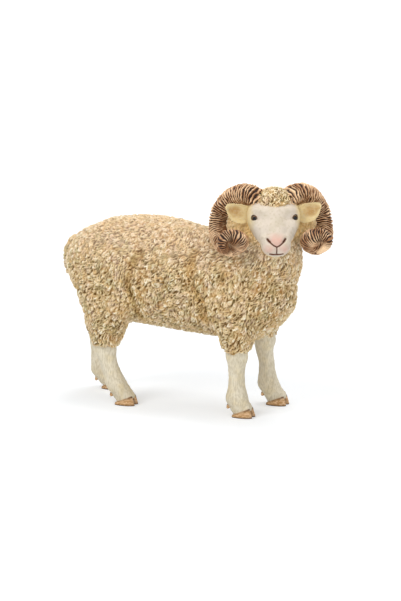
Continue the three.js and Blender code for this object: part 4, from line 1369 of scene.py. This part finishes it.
def carried_frames(path):
    """Two directions square to the path at each point, carried along it with the least turn."""
    way = unit(np.gradient(path, axis=0))
    first = unit(np.cross(way[0], (0.0, 0.0, 1.0)))
    sides = [first]
    for step in way[1:]:
        carried = sides[-1] - step * (sides[-1] @ step)
        sides.append(carried / np.linalg.norm(carried))
    side = np.array(sides)
    return side, np.cross(way, side)


def horn_grid(side):
    """A round section carried along the horn's curve. Its radius dips at each groove: the
    grooves are the zeros of a wave along the curve, whose phase wanders with smooth noise."""
    table = np.array(HORN)
    points = table[:, :3] * (HORN_REACH, side * HORN_SPREAD / 2, HORN_RISE)
    curve = centripetal(points, 16)
    thick = smooth_rows(table[:, 3:], 16)
    rows = evenly(np.hstack([curve, thick]), curve, HORN_GRID[0])
    path, thick = rows[:, :3], rows[:, 3:] * HORN_THICKNESS / 2
    length = np.linalg.norm(np.diff(path, axis=0), axis=1).sum()
    u, v = carried_frames(path)
    along = np.linspace(0, 1, len(path))[:, None]
    t = ring_angles(HORN_GRID[1])[None]
    start, tip_start = HORN_SIDES[side]
    ways = np.cos(t)[..., None] * u[:, None] + np.sin(t)[..., None] * v[:, None]
    skin = path[:, None] + thick[..., None] * ways
    wave = WAVE * np.sin(along * WAVE_TURN + start)
    for seed, (share, size) in WANDERS.items():
        wave = wave + share * cloud(skin, size, seed)
    tight = 1 + 0.5 * ramp(along, *LAST_CURL)  # closer ridges round the last curl
    phase = np.cumsum(tight, axis=0) / len(path) * length / in_mm("ridge_pitch") + wave
    ridge = np.abs(np.sin(np.pi * phase)) ** RIDGE_POWER
    worn = 0.5 + 0.5 * cloud(skin, 1.1, 93)
    crest = ridge * (0.5 + 0.5 * worn)
    tip = ramp(along, tip_start, TIP_OVER)
    depth = in_mm("ridge_depth") * (1 - 0.45 * along) * (1 - 0.85 * tip)
    end = ((along - TIP_ROUND[0]) / TIP_ROUND[1]).clip(0)
    closing = np.sqrt(np.clip(1 - end**2, 0.0004, 1))
    radius = np.maximum(thick * closing + depth * (crest - 0.5), 0.02)
    grid = path[:, None] + radius[..., None] * ways
    brushed = crest * (1 - 0.25 * ramp(along, 0.7, 0.1)) + 0.3 * tip  # less on the last curl
    return grid, {"crest": np.clip(brushed, 0, 1), "tip": tip + 0 * crest}


class RAM_OT_horns(Operator):
    """Ridged spiral horns"""

    bl_idname = "ram.horns"
    bl_label = "Horns"

    def execute(self, context):
        paint = horn_paint()
        for name, side in SIDES.items():
            grid, fields = horn_grid(side)
            add_tube(name + "_ridged_horn", head_axes(grid), [name + "_horn"], paint, fields)
        return {"FINISHED"}


class RAM_OT_ears(Operator):
    """Cupped ears: a leaf whose section is a crescent, open to the front"""

    bl_idname = "ram.ears"
    bl_label = "Ears"

    def execute(self, context):
        paint = ear_paint()
        way, up = unit(np.array(EAR_WAY)), unit(np.array(EAR_UP))
        out = unit(np.cross(way, up))
        table = smooth_rows(EAR, 12)
        table = evenly(table, table[:, :2] * (EAR_LENGTH, 1), EAR_GRID[0])
        along, above, below, cup = upright_columns(table)
        t = ring_angles(EAR_GRID[1])[None]
        across, through = np.cos(t), np.sin(t)
        bow = cup * EAR_THICKNESS * EAR_BOW * (across**2 - 0.5)
        thick = through * EAR_THICKNESS / 2 * (1 - 0.45 * np.abs(across)) * np.minimum(1, 2 * above)
        middle = EAR_ROOT + along[..., None] * EAR_LENGTH * way
        grid = (
            middle
            + (across * np.where(across > 0, above, below))[..., None] * up
            + (thick + bow)[..., None] * out
        )
        hair = EAR_HAIR * cloud(grid, (0.5, 1.0, 0.5), 61)
        grid = grid + hair[..., None] * grid_normals(grid)
        front = np.clip(through * np.sign(out[0]), 0, 1)
        near = ((across - 0.1) / 0.7) ** 2 + ((along - 0.66) / 0.34) ** 2
        fields = {"hollow": front * np.clip(1.2 - near, 0, 1) ** 0.7}
        for name, side in SIDES.items():
            placed = head_axes(grid * (1, side, 1))
            add_tube(name + "_cupped_ear", placed, [name + "_ear"], paint, fields, side < 0)
        return {"FINISHED"}


# Legs and hooves


def leg_table(name):
    """Height, x, y, half-length, half-width and tilt of a lower leg, and its share of height."""
    end, aside, (_, hem, foot), low, bend = hip_values(name)
    up, way, long, wide = np.array(LEG_ROWS[end]).T
    rise = low + LEG_SEAT_DEPTH - HOOF_HEIGHT
    return np.column_stack(
        [
            HOOF_HEIGHT + up * rise,
            hem + way**bend * (foot - hem),
            aside + 0 * up,
            long * LEG_THICKNESS / 2,
            wide * LEG_THICKNESS / 2,
            HOOF_SLOPE * np.clip(1 - up / FETLOCK_SHARE, 0, 1),
            up,
        ]
    )


def swelling(up, relief):
    rise, middle, width = relief
    return rise * bell(up, middle, width)


class RAM_OT_legs(Operator):
    """Lower legs with knees, tendons, short hair and dewclaws"""

    bl_idname = "ram.legs"
    bl_label = "Legs"

    def execute(self, context):
        paint, claw_paint = leg_paint(), hoof_paint()
        for number, name in enumerate(HIPS):
            table = smooth_rows(leg_table(name), 10)
            table = evenly(table, table[:, [0]], LEG_GRID[0])
            grid = upright_grid(table[:, :6], LEG_GRID[1])
            up, t = table[:, 6:7], ring_angles(LEG_GRID[1])[None]
            front, back = np.clip(np.cos(t), 0, 1), np.clip(-np.cos(t), 0, 1)
            tendon = swelling(up, TENDON) * bell(np.abs(np.sin(t / 2 + np.pi / 2)), 0.42, 0.16)
            knee, pastern = swelling(up, KNEE) * front**2, swelling(up, PASTERN) * back
            hair = cloud(grid, LEG_HAIR[0], 70 + number) + 0.8 * cloud(grid, LEG_HAIR[1], 80)
            rise = tendon + knee + pastern + in_mm("hair_depth") * 1.6 * hair
            grid = grid + grid_normals(grid) * rise[..., None]
            add_tube(name + "_lower_leg", grid, [name + "_leg"], paint)
            row = leg_table(name)[2]
            radius = in_mm("dewclaw")
            for which, side in CLAW_SIDES.items():
                place = np.array([row[1] - row[3] + 0.1, row[2] + side * 0.5 * row[4], row[0]])
                claw = ball_grid(place, np.array([0.95, 0.8, 1.25]) * radius, DEWCLAW_GRID)
                claw[..., 0] -= 0.25 * ramp(-claw[..., 2], -place[2], radius)
                fields = {"edge": 0.8 * ramp(claw[..., 2], place[2], radius)}
                add_tube(f"{name}_{which}_dewclaw", claw, [], claw_paint, fields)
        return {"FINISHED"}


class RAM_OT_hooves(Operator):
    """Cloven hooves: two claws each, low at the heel and rising to a pointed toe"""

    bl_idname = "ram.hooves"
    bl_label = "Hooves"

    def execute(self, context):
        paint = bpy.data.materials["painted_hoof"]
        cleft = in_mm("cleft")
        high, tilt, share = upright_columns(smooth_rows(CLAW, 6))
        t = ring_angles(CLAW_COLUMNS)[None]
        ahead = np.clip(np.cos(t), 0, 1)
        for name in HIPS:
            _, aside, (_, _, foot), _, _ = hip_values(name)
            for which, side in CLAW_SIDES.items():
                a = share * HOOF_LENGTH / 2 * signed_power(np.cos(t), CLAW_POWERS[0])
                a = a * (1 - TOE_SLOPE * ahead * np.clip(high - 0.15, 0, 1))
                half_width = share * (HOOF_WIDTH / 4 - cleft / 4)
                b = half_width * signed_power(np.sin(t), CLAW_POWERS[1])
                b = b * (1 - TOE_TAPER * ahead**3)
                middle = side * (HOOF_WIDTH / 4 + cleft / 4) * (1 - TOE_CLOSING * ahead)
                ring = CLAW_RING * np.sin(high * CLAW_RINGS + 0.6 * np.sin(t * 2))
                z = high * HOOF_HEIGHT + tilt * a * HOOF_SLOPE * 1.15
                z = np.maximum(z, high * 0.5)
                grid = np.stack([foot + a * (1 + ring / 4), aside + middle + b * (1 + ring / 2), z], -1)
                # Painted shade on each claw's inner side in the cleft and along the sole; a dark rim at
                # the top.
                inner = np.clip(-side * np.sin(t), 0, 1) ** 3
                top = 0.85 * bell(high, *TOP_EDGE) * (0.4 + 0.6 * ahead)
                sole = bell(high, *SOLE_EDGE)
                fields = {"edge": np.maximum(np.maximum(sole, 0.95 * inner), top)}
                piece = f"{name}_{which}_claw"
                add_tube(piece, grid, [name + "_hoof"], paint, fields)
        return {"FINISHED"}


class RAM_OT_core(Operator):
    """Finish of the filler inside the body"""

    bl_idname = "ram.core"
    bl_label = "Core"

    def execute(self, context):
        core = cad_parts["body_core"]
        core.data.materials.clear()
        core.data.materials.append(core_paint())
        return {"FINISHED"}


# Stage


CAMERA_AIM = np.array([0.0, 0.0, 37.0])  # point of the figure that the camera is set by, mm
CAMERA_SIDE, CAMERA_RISE, CAMERA_FAR = math.radians(23), math.radians(12.7), 1500.0
CAMERA_OFF = (1.90, -2.07)  # image's middle from that point, to the right and up, mm
CAMERA_LENS, CAMERA_CLIP = 274.0, (0.05, 20)
# Square lamps: direction from that point, size in metres and watts
LAMPS = {
    "key_lamp": ((-0.35, -0.75, 0.85), 0.45, 3.8),
    "fill_lamp": ((0.9, -0.7, 0.35), 0.6, 1.8),
    "top_lamp": ((0.1, 0.2, 1.0), 0.5, 4.3),
}
LAMP_FAR = 0.9
ROOM_LIGHT, ROOM_STRENGTH = (1, 0.99, 0.97), 0.42
# Floor: its reach, the metres from the middle over which it whitens, by how much, and its glow
FLOOR_REACH, FLOOR_FADE, FLOOR_WHITE, FLOOR_GLOW = 6.0, (0.12, 0.5), (0.26, 1.0), 1.4


class RAM_OT_stage(Operator):
    """White floor, soft lamps and the camera"""

    bl_idname = "ram.stage"
    bl_label = "Stage"

    def execute(self, context):
        scene = context.scene
        scene.view_settings.view_transform = "Standard"
        aim = Vector((CAMERA_AIM + FIGURE_PLACE) * MM)
        c, s = math.cos(CAMERA_SIDE), math.sin(CAMERA_SIDE)
        level, rise = math.cos(CAMERA_RISE), math.sin(CAMERA_RISE)
        right, back = Vector((c, s, 0)), Vector((s * level, -c * level, rise))
        up = back.cross(right)
        target = aim + (right * CAMERA_OFF[0] + up * CAMERA_OFF[1]) * MM
        scene.camera = link("camera", bpy.data.cameras.new("camera"))
        scene.camera.data.lens = CAMERA_LENS
        scene.camera.data.clip_start, scene.camera.data.clip_end = CAMERA_CLIP
        scene.camera.matrix_world = Matrix((right, up, back)).transposed().to_4x4()
        scene.camera.location = target + back * CAMERA_FAR * MM

        scene.world = bpy.data.worlds.new("studio")
        room = Nodes(scene.world)
        rays = room.add("ShaderNodeLightPath").outputs
        shown = rays["Is Camera Ray"]
        for ray in ("Is Glossy Ray", "Is Transmission Ray"):
            shown = room.maths("MAXIMUM", shown, rays[ray])
        dim = room.nodes["Background"]
        room.set(dim.inputs["Color"], ROOM_LIGHT)
        room.set(dim.inputs["Strength"], ROOM_STRENGTH)
        room.show("World Output", shown, dim, room.add("ShaderNodeBackground"))

        for name, (way, size, watts) in LAMPS.items():
            lamp = link(name, bpy.data.lights.new(name, "AREA"))
            lamp.data.energy, lamp.data.size = watts, size
            way = Vector(way).normalized()
            lamp.location = aim + way * LAMP_FAR
            lamp.rotation_euler = way.to_track_quat("Z", "Y").to_euler()

        far = FLOOR_REACH
        corners = [(-far, -far, 0), (far, -far, 0), (far, far, 0), (-far, far, 0)]
        mesh = bpy.data.meshes.new("floor")
        mesh.from_pydata(corners, [], [(0, 1, 2, 3)])
        link("floor", mesh)
        paint = Paint("studio_floor", Roughness=0.9, Specular_IOR_Level=0.1)
        paint.set(paint.shader.inputs["Base Color"], colours().floor)
        glow = paint.add("ShaderNodeEmission", Strength=FLOOR_GLOW)
        length = paint.add("ShaderNodeVectorMath", {"operation": "LENGTH"}, Vector=paint.place())
        off = length.outputs["Value"]
        white = paint.band(off, *FLOOR_FADE, *FLOOR_WHITE, "LINEAR")
        share = paint.times(paint.add("ShaderNodeLightPath").outputs["Is Camera Ray"], white)
        paint.show("Material Output", share, paint.shader, glow)
        mesh.materials.append(paint.material)
        return {"FINISHED"}


STEPS = (
    RAM_OT_fleece,
    RAM_OT_tail_and_crown,
    RAM_OT_head,
    RAM_OT_eyes,
    RAM_OT_ears,
    RAM_OT_horns,
    RAM_OT_legs,
    RAM_OT_hooves,
    RAM_OT_core,
    RAM_OT_stage,
)


class RAM_PT_panel(Panel):
    """Steps, sizes and paints of the toy ram"""

    bl_idname = "RAM_PT_panel"
    bl_label = "Toy ram"
    bl_space_type = "VIEW_3D"
    bl_region_type = "UI"
    bl_category = "Ram"

    def draw(self, context):
        for step in STEPS:
            self.layout.operator(step.bl_idname)
        for group in (context.scene.ram_sizes, context.scene.ram_colours):
            for key in group.__annotations__:
                self.layout.prop(group, key)


CLASSES = (RamSizes, RamColours, *STEPS, RAM_PT_panel)


def register():
    for each in CLASSES:
        bpy.utils.register_class(each)
    bpy.types.Scene.ram_sizes = PointerProperty(type=RamSizes)
    bpy.types.Scene.ram_colours = PointerProperty(type=RamColours)


def unregister():
    del bpy.types.Scene.ram_colours
    del bpy.types.Scene.ram_sizes
    for each in reversed(CLASSES):
        bpy.utils.unregister_class(each)


def main():
    register()
    for step in STEPS:
        getattr(bpy.ops.ram, step.bl_idname.split(".")[1])()


if __name__ == "__main__":
    main()
